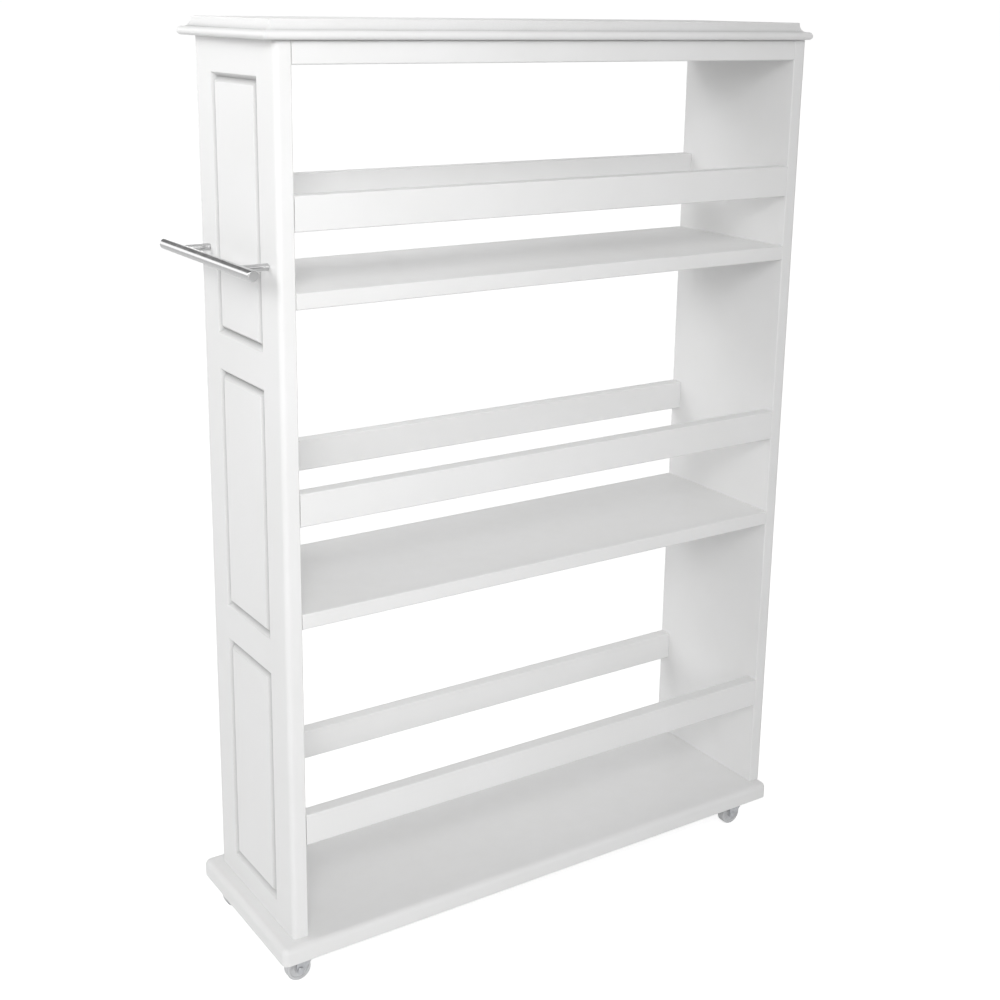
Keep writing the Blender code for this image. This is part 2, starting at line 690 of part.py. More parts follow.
def make_post(name, y, bar_x):
    """A post whose outer end is saddled to the bar and whose inner end is bored for its screw."""
    origin = (LEFT - GAP, y, HANDLE_Z)
    bm = bmesh.new()
    add_turned(bm, [(POST_RADIUS, 0.0), (POST_RADIUS, HANDLE_REACH)], origin, (-1, 0, 0), SMALL_STEPS)
    post = finish(name, bm, brushed_steel(f"{name}_steel"), origin=origin)
    tools = bmesh.new()
    saddle = HANDLE_RADIUS + GAP
    across = [(saddle, -2 * POST_RADIUS), (saddle, 2 * POST_RADIUS)]
    add_turned(tools, across, (bar_x, y, HANDLE_Z), (0, 1, 0))
    thread = HANDLE_SCREW_RADIUS + GAP
    bore = [(thread, -OVERCUT), (thread, POST_THREAD)]
    add_turned(tools, bore, origin, (-1, 0, 0), SMALL_STEPS)
    combine(post, tools, "DIFFERENCE")


def make_handle_screw(name, y):
    """A pan-head screw that passes out through the end panel into a post."""
    seat = (BAY_LEFT + GAP, y, HANDLE_Z)
    reach = PANEL_THICKNESS + HANDLE_SCREW_BITE
    profile = [
        (HANDLE_SCREW_HEAD * 0.7, -HANDLE_SCREW_HEAD_HEIGHT),
        (HANDLE_SCREW_HEAD, -HANDLE_SCREW_HEAD_HEIGHT * 0.6),
        (HANDLE_SCREW_HEAD, 0.0),
        (HANDLE_SCREW_RADIUS, 0.0),
        (HANDLE_SCREW_RADIUS, reach - HANDLE_SCREW_RADIUS / 2),
        (HANDLE_SCREW_RADIUS / 2, reach),
    ]
    bm = bmesh.new()
    add_turned(bm, profile, seat, (-1, 0, 0), SMALL_STEPS)
    finish(name, bm, zinc_plate(f"{name}_zinc"), origin=seat)


# Casters. Each shape is made once about the swivel axis at the world origin.


def plate_shape():
    """The stamped mounting plate with its swivel race, four screw holes and a stepped bore for the pin."""
    bm = bmesh.new()
    half_x = PLATE_LENGTH / 2
    half_y = PLATE_WIDTH / 2
    add_box(bm, (-half_x, -half_y, PLATE_TOP - PLATE_THICKNESS), (half_x, half_y, PLATE_TOP))
    round_edges(bm, [edge for edge in bm.edges if along_axis(edge, 2)], PLATE_CORNER)
    plate = finish("plate_blank", bm, None)
    race = bmesh.new()
    ring = [(RACE_RADIUS, RACE_BOTTOM), (RACE_RADIUS, PLATE_TOP - PLATE_THICKNESS / 2)]
    add_turned(race, ring, (0, 0, 0), (0, 0, 1))
    joined = combine(plate, race, "UNION")
    tools = bmesh.new()
    shank = PIN_RADIUS + GAP
    head = PIN_HEAD_RADIUS + GAP
    step = PLATE_TOP - PIN_HEAD - 2 * GAP
    bore = [(shank, RACE_BOTTOM - OVERCUT), (shank, step), (head, step), (head, PLATE_TOP + OVERCUT)]
    add_turned(tools, bore, (0, 0, 0), (0, 0, 1), SMALL_STEPS)
    hole_x = half_x - PLATE_HOLE_INSET
    hole_y = half_y - PLATE_HOLE_INSET
    hole = [(PLATE_HOLE_RADIUS, PLATE_TOP - PLATE_THICKNESS - OVERCUT), (PLATE_HOLE_RADIUS, PLATE_TOP + OVERCUT)]
    for x in (-hole_x, hole_x):
        for y in (-hole_y, hole_y):
            add_turned(tools, hole, (x, y, 0), (0, 0, 1), SMALL_STEPS)
    cut = combine(plate, tools, "DIFFERENCE")
    bake(plate, [joined, cut])
    return plate


def fork_shape():
    """The bent fork: a channel cut to a side outline that sweeps back to the axle eye."""
    half = FORK_LENGTH / 2
    eye_x = -CASTER_TRAIL
    low = WHEEL_RADIUS - FORK_EYE_RADIUS - OVERCUT
    under = FORK_TOP - FORK_GAUGE
    start = -half - FORK_EYE_RADIUS - CASTER_TRAIL
    channel = [
        (start, -FORK_OUTER, low),
        (start, -FORK_INNER, low),
        (start, -FORK_INNER, under),
        (start, FORK_INNER, under),
        (start, FORK_INNER, low),
        (start, FORK_OUTER, low),
        (start, FORK_OUTER, FORK_TOP),
        (start, -FORK_OUTER, FORK_TOP),
    ]
    bm = bmesh.new()
    add_prism(bm, channel, (half - start + OVERCUT, 0, 0))
    fork = finish("fork_blank", bm, None)
    angles = [math.radians(-12 - 168 * index / 8) for index in range(9)]
    eye = [
        (eye_x + FORK_EYE_RADIUS * math.cos(angle), WHEEL_RADIUS + FORK_EYE_RADIUS * math.sin(angle))
        for angle in angles
    ]
    shoulder = under - 2 * FORK_GAUGE
    side = [(half, FORK_TOP + OVERCUT), (half, shoulder)] + eye + [(-half, shoulder), (-half, FORK_TOP + OVERCUT)]
    outline = bmesh.new()
    width = FORK_OUTER + OVERCUT
    add_prism(outline, [(x, -width, z) for x, z in side], (0, 2 * width, 0))
    profile = combine(fork, outline, "INTERSECT")
    tools = bmesh.new()
    shank = PIN_RADIUS + RUNNING_GAP
    add_turned(tools, [(shank, under - OVERCUT), (shank, FORK_TOP + OVERCUT)], (0, 0, 0), (0, 0, 1), SMALL_STEPS)
    axle = AXLE_RADIUS + GAP
    across = [(axle, -FORK_OUTER - OVERCUT), (axle, FORK_OUTER + OVERCUT)]
    add_turned(tools, across, (eye_x, 0, WHEEL_RADIUS), (0, 1, 0), SMALL_STEPS)
    cut = combine(fork, tools, "DIFFERENCE")
    bake(fork, [profile, cut])
    return fork


def pin_shape():
    """The kingpin, headed below the fork and spread flush in the plate."""
    under = FORK_TOP - FORK_GAUGE - RUNNING_GAP
    step = PLATE_TOP - PIN_HEAD - GAP
    profile = [
        (PIN_HEAD_RADIUS, under - PIN_HEAD),
        (PIN_HEAD_RADIUS, under),
        (PIN_RADIUS, under),
        (PIN_RADIUS, step),
        (PIN_HEAD_RADIUS, step),
        (PIN_HEAD_RADIUS, PLATE_TOP - GAP),
    ]
    bm = bmesh.new()
    add_turned(bm, profile, (0, 0, 0), (0, 0, 1), SMALL_STEPS)
    return finish("pin_blank", bm, None)


def axle_shape():
    """The riveted axle, about its own centre."""
    seat = FORK_OUTER + GAP
    tip = seat + AXLE_HEAD
    dome = AXLE_HEAD_RADIUS * 0.6
    profile = [
        (dome, -tip),
        (AXLE_HEAD_RADIUS, -seat - AXLE_HEAD * 0.4),
        (AXLE_HEAD_RADIUS, -seat),
        (AXLE_RADIUS, -seat),
        (AXLE_RADIUS, seat),
        (AXLE_HEAD_RADIUS, seat),
        (AXLE_HEAD_RADIUS, seat + AXLE_HEAD * 0.4),
        (dome, tip),
    ]
    bm = bmesh.new()
    add_turned(bm, profile, (0, 0, 0), (0, 1, 0), SMALL_STEPS)
    return finish("axle_blank", bm, None)


def wheel_shape():
    """The moulded wheel: a bored hub, a dished web and a rounded tread, about its own centre."""
    bore = AXLE_RADIUS + RUNNING_GAP
    hub = HUB_WIDTH / 2
    rim = WHEEL_WIDTH / 2
    web = rim * 0.6
    round_off = 0.0015
    half = [
        (bore, hub),
        (HUB_RADIUS, hub),
        (HUB_RADIUS, web),
        (WHEEL_RADIUS * 0.74, web),
        (WHEEL_RADIUS * 0.78, rim),
        (WHEEL_RADIUS - round_off, rim),
        (WHEEL_RADIUS - round_off * 0.3, rim - round_off * 0.3),
        (WHEEL_RADIUS, rim - round_off),
    ]
    profile = half + [(radius, -y) for radius, y in reversed(half)]
    bm = bmesh.new()
    add_turned(bm, profile, (0, 0, 0), (0, 1, 0), ROUND_STEPS, bored=True)
    return finish("wheel_blank", bm, None)


def make_casters():
    """Four casters: the fork, axle and wheel of each hang from an empty on its swivel axis."""
    plate, fork, pin, axle, wheel = plate_shape(), fork_shape(), pin_shape(), axle_shape(), wheel_shape()
    for place, x, y in caster_places():
        swivel = bpy.data.objects.new(f"swivel_{place}", None)
        swivel.location = (x, y, 0.0)
        bpy.context.scene.collection.objects.link(swivel)
        copy_with(plate, f"caster_plate_{place}", (x, y, 0.0), zinc_plate)
        copy_with(pin, f"caster_pin_{place}", (x, y, 0.0), zinc_plate)
        moving = [
            copy_with(fork, f"caster_fork_{place}", (0.0, 0.0, 0.0), zinc_plate),
            copy_with(axle, f"caster_axle_{place}", (-CASTER_TRAIL, 0.0, WHEEL_RADIUS), zinc_plate),
            copy_with(wheel, f"caster_wheel_{place}", (-CASTER_TRAIL, 0.0, WHEEL_RADIUS), grey_nylon),
        ]
        for obj in moving:
            obj.parent = swivel
    for blank in (plate, fork, pin, axle, wheel):
        bpy.data.objects.remove(blank)


def copy_with(blank, name, location, finish_of):
    """A copy of a blank with a mesh and a material of its own."""
    mesh = blank.data.copy()
    mesh.materials.clear()
    mesh.materials.append(finish_of(f"{name}_finish"))
    copy = bpy.data.objects.new(name, mesh)
    copy.location = location
    bpy.context.scene.collection.objects.link(copy)
    return copy


def clear_scene():
    """Removes every object of the open scene."""
    for obj in list(bpy.data.objects):
        bpy.data.objects.remove(obj)


def main():
    """Builds the whole cart."""
    clear_scene()
    make_end_panels()
    make_rails()
    make_shelves()
    make_cap()
    make_base()
    make_base_screws()
    make_dowels()
    make_cam_locks()
    make_handle()
    make_casters()


main()
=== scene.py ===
"""Looks of a rolling pantry cart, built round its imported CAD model.

The cart is a slim white shelf unit: two end panels, two loose shelves, guard rails, a moulded cap and a
moulded base board, with a round bar handle on the left end and four small swivel casters. The front long side
faces -Y, the handle end faces -X and the wheels stand on Z = 0. All sizes are in metres.
"""

from __future__ import annotations

import logging
import math
from collections.abc import Callable, Iterable, Sequence
from dataclasses import dataclass
from enum import Enum

import bmesh
import bpy
from mathutils import Matrix, Vector


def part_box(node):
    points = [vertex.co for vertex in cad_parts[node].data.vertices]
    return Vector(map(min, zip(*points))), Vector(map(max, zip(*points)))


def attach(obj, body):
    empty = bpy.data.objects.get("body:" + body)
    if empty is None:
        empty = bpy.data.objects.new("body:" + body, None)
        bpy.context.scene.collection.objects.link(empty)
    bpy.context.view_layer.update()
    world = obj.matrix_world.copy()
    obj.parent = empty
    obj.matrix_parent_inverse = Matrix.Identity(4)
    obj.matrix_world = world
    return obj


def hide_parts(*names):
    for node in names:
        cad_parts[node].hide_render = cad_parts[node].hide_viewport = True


log = logging.getLogger("pantry_cart")

Point = Sequence[float]
Profile = Sequence[tuple[float, float]]

CLEARANCE = 0.0003  # Running room round a hidden fixing.
OVERCUT = 0.002  # How far a cutter passes the face that it opens.
CLOSING = 0.00028  # How much of that room the visible joints take up again.
TENON_SHOULDER = 0.0035  # How far a rail's tenon stands in from the rail's faces.
TENON_LENGTH = 0.008  # How far it reaches into the end panel.
MERGE_REACH = 1e-6
QUARTER_TURN = math.pi / 2
SHELF_LEVELS = ("middle", "upper")
RAIL_LEVELS = ("lower", "middle", "upper", "top")
ALONG_X = (1, 0, 0)
ALONG_Y = (0, 1, 0)
ALONG_Z = (0, 0, 1)


class Side(Enum):
    """The two long sides."""

    FRONT = -1
    BACK = 1

    @property
    def word(self) -> str:
        """The side's word in node names."""
        return self.name.lower()


class End(Enum):
    """The two ends."""

    LEFT = -1
    RIGHT = 1

    @property
    def word(self) -> str:
        """The end's word in node names."""
        return self.name.lower()


def corner_places() -> list[str]:
    """The four corners' words in node names."""
    return [f"{side.word}_{end.word}" for side in Side for end in End]


class Body:
    """Names of the CAD bodies."""

    CART = "cart"

    @staticmethod
    def swivel(place: str) -> str:
        """The body that a caster's fork turns with."""
        return f"swivel_{place}"

    @staticmethod
    def wheel(place: str) -> str:
        """The body that a caster's wheel rolls with."""
        return f"wheel_{place}"


class Slot(Enum):
    """Material slots of the record."""

    PAINT = "white_paint"
    HANDLE = "handle_steel"
    ZINC = "zinc_plate"
    CAM = "cast_zinc"
    NYLON = "grey_nylon"


@dataclass(frozen=True)
class Box:
    """The space that a piece fills.

    Attributes:
        low: Its lowest corner.
        high: Its highest corner.
    """

    low: Vector
    high: Vector

    @classmethod
    def of(cls, node: str) -> Box:
        """The box of a CAD node at rest."""
        return cls(*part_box(node))

    @property
    def centre(self) -> Vector:
        """The middle of the box."""
        return (self.low + self.high) / 2

    @property
    def size(self) -> Vector:
        """The three side lengths."""
        return self.high - self.low

    def grown(self, x: float, y: float, z: float) -> Box:
        """The box with each side moved outwards by an amount along each axis."""
        step = Vector((x, y, z))
        return Box(self.low - step, self.high + step)


# Modelling helpers.


class Solid:
    """A closed solid under construction, in row coordinates."""

    def __init__(self) -> None:
        """Starts with nothing."""
        self.bm = bmesh.new()

    def add_box(self, box: Box) -> Solid:
        """Adds a box."""
        matrix = Matrix.Translation(box.centre) @ Matrix.Diagonal((*box.size, 1.0))
        bmesh.ops.create_cube(self.bm, size=1.0, matrix=matrix)
        return self

    def add_turned(
        self, profile: Profile, centre: Point, axis: Point, steps: int = 48, bored: bool = False
    ) -> Solid:
        """Spins a profile right round.

        Args:
            profile: (radius, distance along the axis) points.
            centre: The point from which distances are counted.
            axis: The direction of the axis.
            steps: Steps in the turn.
            bored: Whether the profile closes on itself, clear of the axis.

        Returns:
            The solid itself.
        """
        along = Vector(axis).normalized()
        outward = along.orthogonal().normalized()
        start = Vector(centre)
        points = list(profile)
        if not bored:
            points = [(0.0, points[0][1]), *points, (0.0, points[-1][1])]
        verts = [self.bm.verts.new(start + outward * r + along * d) for r, d in points]
        edges = [self.bm.edges.new(pair) for pair in zip(verts, verts[1:])]
        if bored:
            edges.append(self.bm.edges.new((verts[-1], verts[0])))
        before = set(self.bm.verts) - set(verts)
        bmesh.ops.spin(
            self.bm, geom=verts + edges, cent=start, axis=along, angle=math.tau, steps=steps, use_merge=True
        )
        made = [vert for vert in self.bm.verts if vert not in before]
        bmesh.ops.remove_doubles(self.bm, verts=made, dist=MERGE_REACH)
        return self

    def add_rod(
        self, radius: float, centre: Point, axis: Point, reach: tuple[float, float], steps: int = 24
    ) -> Solid:
        """Adds a plain rod, such as the cutter of a bore.

        Args:
            radius: Its radius.
            centre: The point from which its reach is counted.
            axis: The direction of its axis.
            reach: Where it starts and stops along the axis.
            steps: Steps in the turn.

        Returns:
            The solid itself.
        """
        return self.add_turned([(radius, distance) for distance in reach], centre, axis, steps)

    def add_prism(self, outline: Iterable[Point], along: Point) -> Solid:
        """Extrudes a flat outline.

        Args:
            outline: Its corners in space, in order.
            along: The direction and length of the prism.

        Returns:
            The solid itself.
        """
        face = self.bm.faces.new([self.bm.verts.new(point) for point in outline])
        made = bmesh.ops.extrude_face_region(self.bm, geom=[face], use_keep_orig=True)["geom"]
        moved = [item for item in made if isinstance(item, bmesh.types.BMVert)]
        bmesh.ops.translate(self.bm, verts=moved, vec=along)
        return self

    def round_edges(self, choose: Callable[[bmesh.types.BMEdge], bool], radius: float, segments: int = 4) -> Solid:
        """Rounds edges with a true arc.

        Args:
            choose: The test that picks the edges.
            radius: The arc's radius.
            segments: Facets in the arc.

        Returns:
            The solid itself.
        """
        bmesh.ops.bevel(
            self.bm,
            geom=[edge for edge in self.bm.edges if choose(edge)],
            offset=radius,
            offset_type="OFFSET",
            segments=segments,
            profile=0.5,
            affect="EDGES",
            clamp_overlap=True,
            material=-1,
        )
        return self

    def outermost(self, direction: Point) -> bmesh.types.BMFace:
        """Finds the face that lies furthest in a direction and looks that way.

        Args:
            direction: The direction.

        Returns:
            The face.
        """
        way = Vector(direction)
        bmesh.ops.recalc_face_normals(self.bm, faces=self.bm.faces)
        facing = [face for face in self.bm.faces if face.normal.dot(way) > 0.99]
        return max(facing, key=lambda face: face.calc_center_median().dot(way))

    def mould(self, face: bmesh.types.BMFace, steps: Iterable[tuple[float, float]]) -> Solid:
        """Runs a moulding round a face.

        Args:
            face: The flat face inside the moulding.
            steps: (inset, rise along the face's normal) moves.

        Returns:
            The solid itself.
        """
        for inset, rise in steps:
            bmesh.ops.inset_region(self.bm, faces=[face], thickness=inset, depth=rise, use_even_offset=True)
        return self

    def closed(self) -> bmesh.types.BMesh:
        """Merges doubles and turns every face outwards.

        Returns:
            The finished bmesh.
        """
        bmesh.ops.remove_doubles(self.bm, verts=self.bm.verts, dist=MERGE_REACH)
        bmesh.ops.recalc_face_normals(self.bm, faces=self.bm.faces)
        if self.bm.calc_volume(signed=True) < 0:
            bmesh.ops.reverse_faces(self.bm, faces=self.bm.faces)
        return self.bm


def runs_along(edge: bmesh.types.BMEdge, axis: int) -> bool:
    """True for an edge that runs along X (0), Y (1) or Z (2)."""
    span = edge.verts[1].co - edge.verts[0].co
    return abs(span[axis]) > 0.999 * span.length


def at_level(edge: bmesh.types.BMEdge, axis: int, level: float, reach: float = 1e-5) -> bool:
    """True for an edge whose two ends lie at one coordinate."""
    return all(abs(vert.co[axis] - level) < reach for vert in edge.verts)


def steps_of(points: Profile) -> list[tuple[float, float]]:
    """The moves between neighbouring points of a profile."""
    return [(b[0] - a[0], b[1] - a[1]) for a, b in zip(points, points[1:])]


def sweep(turn: float, segments: int) -> list[float]:
    """Evenly spaced angles from nought to a turn."""
    return [turn * index / segments for index in range(segments + 1)]


def quarter(radius: float, segments: int) -> list[tuple[float, float]]:
    """(inset, rise) moves of a quarter round that leaves an upright wall."""
    angles = sweep(QUARTER_TURN, segments)
    return steps_of([(radius * (1 - math.cos(a)), radius * math.sin(a)) for a in angles])


def hollow(width: float, height: float, segments: int = 10) -> list[tuple[float, float]]:
    """(inset, rise) moves of a hollow that starts flat and ends upright."""
    angles = sweep(QUARTER_TURN, segments)
    return steps_of([(width * math.sin(a), height * (1 - math.cos(a))) for a in angles])


def dome(radius: float, crown: float, rise: float, angles: Iterable[float]) -> list[tuple[float, float]]:
    """Works out the profile of a domed head.

    Args:
        radius: The head's radius.
        crown: Where the dome's top would lie along the axis.
        rise: The dome's height.
        angles: Angles from the crown, in radians.

    Returns:
        (radius, distance) points from the crown outwards.
    """
    return [(radius * math.sin(a), crown + rise * (1 - math.cos(a))) for a in angles]


def mirrored(half: Profile) -> list[tuple[float, float]]:
    """A profile followed by its mirror image, with distances turned about nought."""
    return [*half, *((radius, -distance) for radius, distance in reversed(half))]


def mesh_object(name: str, solid: Solid) -> bpy.types.Object:
    """Puts a finished solid in the scene, at the origin.

    Args:
        name: The object's name.
        solid: The solid, which is used up.

    Returns:
        The object.
    """
    mesh = bpy.data.meshes.new(name)
    bm = solid.closed()
    bm.to_mesh(mesh)
    bm.free()
    return link(name, mesh)


def link(name: str, data: bpy.types.ID) -> bpy.types.Object:
    """Links a new object that holds some data to the scene."""
    made = bpy.data.objects.new(name, data)
    bpy.context.scene.collection.objects.link(made)
    return made


def settle(target: bpy.types.Object) -> None:
    """Works an object's modifiers into its mesh."""
    bpy.context.view_layer.update()
    graph = bpy.context.evaluated_depsgraph_get()
    settled = bpy.data.meshes.new_from_object(target.evaluated_get(graph))
    target.modifiers.clear()
    target.data = settled


def carve(target: bpy.types.Object, tools: Solid, operation: str = "DIFFERENCE") -> None:
    """Cuts, joins or keeps what an object shares with other solids.

    Args:
        target: The object that is worked.
        tools: The other solids, which are used up.
        operation: DIFFERENCE, UNION or INTERSECT.
    """
    tool = mesh_object(f"{target.name}_tool", tools)
    modifier = target.modifiers.new("Carve", "BOOLEAN")
    modifier.operation = operation
    modifier.solver = "EXACT"
    modifier.use_self = True
    modifier.object = tool
    settle(target)
    bpy.data.objects.remove(tool)


@dataclass(frozen=True)
class Placing:
    """How a finished piece joins the model.

    Attributes:
        body: The CAD body that it rides on.
        slot: The record's material slot; not used.
        stands_for: The CAD nodes that it replaces.
    """

    body: str
    slot: Slot
    stands_for: tuple[str, ...] = ()


def finish_piece(
    piece: bpy.types.Object, material: bpy.types.Material, placing: Placing, smooth_angle: float = 40.0
) -> None:
    """Shades a piece, gives it its material and hangs it on its body.

    Args:
        piece: An object at the origin.
        material: Its finish.
        placing: The body, slot and replaced nodes.
        smooth_angle: The sharpest corner, in degrees, that is shaded smooth.
    """
    piece.data.shade_smooth()
    piece.data.set_sharp_from_angle(angle=math.radians(smooth_angle))
    weighted = piece.modifiers.new("Flat faces", "WEIGHTED_NORMAL")
    weighted.keep_sharp = True
    piece.data.materials.clear()
    piece.data.materials.append(material)
    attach(piece, placing.body)
    if placing.stands_for:
        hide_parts(*placing.stands_for)
    log.info("%s: %d faces on %s", piece.name, len(piece.data.polygons), placing.body)


def paint_piece(name: str, shape: bpy.types.Object, palette: Palette, smooth_angle: float = 40.0) -> None:
    """Finishes a painted board that stands for the CAD node of the same name.

    Args:
        name: The CAD node.
        shape: The board.
        palette: The finishes.
        smooth_angle: The sharpest corner, in degrees, that is shaded smooth.
    """
    finish_piece(shape, palette.paint, Placing(Body.CART, Slot.PAINT, (name,)), smooth_angle)


def moved_copy(name: str, source: bpy.types.Object, place: Matrix) -> bpy.types.Object:
    """Copies a shape and works its new place into its mesh.

    Args:
        name: The copy's name.
        source: The shape.
        place: The move from the shape to the copy.

    Returns:
        The copy, at the origin.
    """
    mesh = source.data.copy()
    mesh.transform(place)
    return link(name, mesh)


# Finishes.


class Sheet:
    """Adds and links the nodes of one shader tree."""

    def __init__(self, tree: bpy.types.NodeTree) -> None:
        """Starts on a tree."""
        self.tree = tree

    def feed(self, socket: bpy.types.NodeSocket, value: object) -> None:
        """Links a socket to another, or sets it.

        Args:
            socket: The input.
            value: A socket to link from, or a plain value.
        """
        if isinstance(value, bpy.types.NodeSocket):
            self.tree.links.new(value, socket)
        else:
            socket.default_value = value

    def add(self, kind: str, inputs: dict[str | int, object] | None = None, **settings: object) -> bpy.types.Node:
        """Adds a node.

        Args:
            kind: The node's type name.
            inputs: Values or source sockets by input name or number.
            **settings: The node's own properties.

        Returns:
            The node.
        """
        node = self.tree.nodes.new(kind)
        for name, value in settings.items():
            setattr(node, name, value)
        for key, value in (inputs or {}).items():
            self.feed(node.inputs[key], value)
        return node

    def maths(self, operation: str, first: object, second: object = 0.0) -> bpy.types.NodeSocket:
        """The result of one sum."""
        return self.add("ShaderNodeMath", {0: first, 1: second}, operation=operation).outputs[0]

    def ranged(self, value: object, low: float, high: float, to_low: object, to_high: object) -> bpy.types.NodeSocket:
        """Carries a value from one range to another and holds it at the ends.

        Args:
            value: The value.
            low: Where its range starts.
            high: Where its range stops.
            to_low: What the start becomes.
            to_high: What the stop becomes.

        Returns:
            The carried value.
        """
        spread = {"Value": value, "From Min": low, "From Max": high, "To Min": to_low, "To Max": to_high}
        return self.add("ShaderNodeMapRange", spread).outputs[0]

    def noise(self, vector: object, scale: object, detail: float = 2.0, roughness: float = 0.5) -> bpy.types.NodeSocket:
        """Makes noise about one half.

        Args:
            vector: The coordinates.
            scale: Its scale.
            detail: Its detail.
            roughness: How strong the detail is.

        Returns:
            The noise.
        """
        fields = {"Vector": vector, "Scale": scale, "Detail": detail, "Roughness": roughness}
        return self.add("ShaderNodeTexNoise", fields).outputs["Fac"]

    def mixed(self, share: object, first: object, second: object) -> bpy.types.NodeSocket:
        """Mixes two colours.

        Args:
            share: How much of the second shows.
            first: The first colour.
            second: The second colour.

        Returns:
            The mixed colour.
        """
        node = self.add("ShaderNodeMix", data_type="RGBA")
        self.feed(node.inputs[0], share)
        self.feed(node.inputs[6], first)
        self.feed(node.inputs[7], second)
        return node.outputs[2]

    def mapped(self, scale: Point = (1.0, 1.0, 1.0)) -> bpy.types.NodeSocket:
        """The piece's own coordinates, stretched."""
        coordinates = self.add("ShaderNodeTexCoord").outputs["Object"]
        return self.add("ShaderNodeMapping", {"Vector": coordinates, "Scale": scale}).outputs[0]

    def stretched(self, axis: int, along: float, across: float) -> bpy.types.NodeSocket:
        """The piece's own coordinates, with one scale along an axis and another across it."""
        return self.mapped(tuple(along if index == axis else across for index in range(3)))


class Group:
    """A shader node group that several finishes place."""

    def __init__(self, name: str, inputs: dict[str, float], outputs: Sequence[str]) -> None:
        """Makes an empty group with named number sockets.

        Args:
            name: Its name.
            inputs: Defaults by input name.
            outputs: The outputs' names.
        """
        self.tree = bpy.data.node_groups.new(name, "ShaderNodeTree")
        for socket, default in inputs.items():
            made = self.tree.interface.new_socket(socket, in_out="INPUT", socket_type="NodeSocketFloat")
            made.default_value = default
        for socket in outputs:
            self.tree.interface.new_socket(socket, in_out="OUTPUT", socket_type="NodeSocketFloat")
        self.sheet = Sheet(self.tree)
        self.given = self.sheet.add("NodeGroupInput").outputs
        self.result = self.sheet.add("NodeGroupOutput").inputs

    def place(self, sheet: Sheet, values: dict[str, object]) -> bpy.types.Node:
        """Puts the group in a material.

        Args:
            sheet: The material's sheet.
            values: The values or source sockets by input name.

        Returns:
            The placed node.
        """
        node = sheet.add("ShaderNodeGroup", node_tree=self.tree)
        for name, value in values.items():
            sheet.feed(node.inputs[name], value)
        return node


@dataclass
class Effects:
    """The node groups that the finishes share, built once.

    Attributes:
        edge_wear: Rubbed corners.
        surface_grain: Pebble height and slow drift.
        settled_dust: Film on faces that look up.
        hollow_shade: Painted shade in grooves and hollows.
    """

    edge_wear: Group
    surface_grain: Group
    settled_dust: Group
    hollow_shade: Group

    @classmethod
    def build(cls) -> Effects:
        """Makes every group."""
        return cls(cls._edge_wear(), cls._surface_grain(), cls._settled_dust(), cls._hollow_shade())

    @staticmethod
    def _edge_wear() -> Group:
        """A mask of rubbed corners, broken up by noise."""
        group = Group("edge_wear", {"Radius": 0.0015, "Scale": 60.0, "Amount": 1.0}, ["Mask"])
        sheet = group.sheet
        rounded = sheet.add("ShaderNodeBevel", {"Radius": group.given["Radius"]}, samples=4).outputs[0]
        flat = sheet.add("ShaderNodeNewGeometry").outputs["Normal"]
        likeness = sheet.add("ShaderNodeVectorMath", {0: rounded, 1: flat}, operation="DOT_PRODUCT").outputs["Value"]
        corner = sheet.ranged(likeness, 0.995, 0.90, 0.0, 1.0)
        patches = sheet.noise(sheet.mapped(), group.given["Scale"], 4.0, 0.65)
        rubbed = sheet.ranged(patches, 0.45, 0.68, 0.15, 1.0)
        worn = sheet.maths("MULTIPLY", corner, rubbed)
        sheet.feed(group.result["Mask"], sheet.maths("MULTIPLY", worn, group.given["Amount"]))
        return group

    @staticmethod
    def _surface_grain() -> Group:
        """A fine pebble height, and a slow drift for gloss and tone."""
        group = Group("surface_grain", {"Fine scale": 700.0, "Slow scale": 14.0}, ["Height", "Drift"])
        sheet = group.sheet
        place = sheet.mapped()
        fine = sheet.noise(place, group.given["Fine scale"], 1.5, 0.4)
        slow = sheet.noise(place, group.given["Slow scale"], 3.0, 0.55)
        height = sheet.maths("ADD", fine, sheet.maths("MULTIPLY", slow, 0.6))
        sheet.feed(group.result["Height"], height)
        sheet.feed(group.result["Drift"], sheet.maths("SUBTRACT", slow, 0.5))
        return group

    @staticmethod
    def _settled_dust() -> Group:
        """A thin patchy film on faces that look up."""
        group = Group("settled_dust", {"Scale": 90.0, "Amount": 0.2}, ["Mask"])
        sheet = group.sheet
        normal = sheet.add("ShaderNodeNewGeometry").outputs["Normal"]
        up = sheet.add("ShaderNodeSeparateXYZ", {0: normal}).outputs["Z"]
        facing = sheet.ranged(up, 0.5, 1.0, 0.0, 1.0)
        patches = sheet.ranged(sheet.noise(sheet.mapped(), group.given["Scale"], 5.0, 0.7), 0.4, 0.7, 0.2, 1.0)
        film = sheet.maths("MULTIPLY", facing, patches)
        sheet.feed(group.result["Mask"], sheet.maths("MULTIPLY", film, group.given["Amount"]))
        return group

    @staticmethod
    def _hollow_shade() -> Group:
        """A mask of grooves and hollows, where the piece shades itself, for painted shade."""
        group = Group("hollow_shade", {"Reach": 0.01, "Amount": 1.0}, ["Mask"])
        sheet = group.sheet
        reach = {"Distance": group.given["Reach"]}
        openness = sheet.add("ShaderNodeAmbientOcclusion", reach, samples=6, only_local=True).outputs["AO"]
        # Painted shade: the less open a point is to its surroundings, the more of the dark tone it takes.
        painted_shade = sheet.ranged(openness, 0.45, 0.95, 1.0, 0.0)
        sheet.feed(group.result["Mask"], sheet.maths("MULTIPLY", painted_shade, group.given["Amount"]))
        return group


def colour(red: float, green: float, blue: float) -> tuple[float, float, float, float]:
    """An opaque linear colour."""
    return (red, green, blue, 1.0)


def toned(tone: Point, share: float) -> tuple[float, float, float, float]:
    """A tone made darker or lighter, and never brighter than white."""
    return colour(*(min(1.0, value * share) for value in tone))


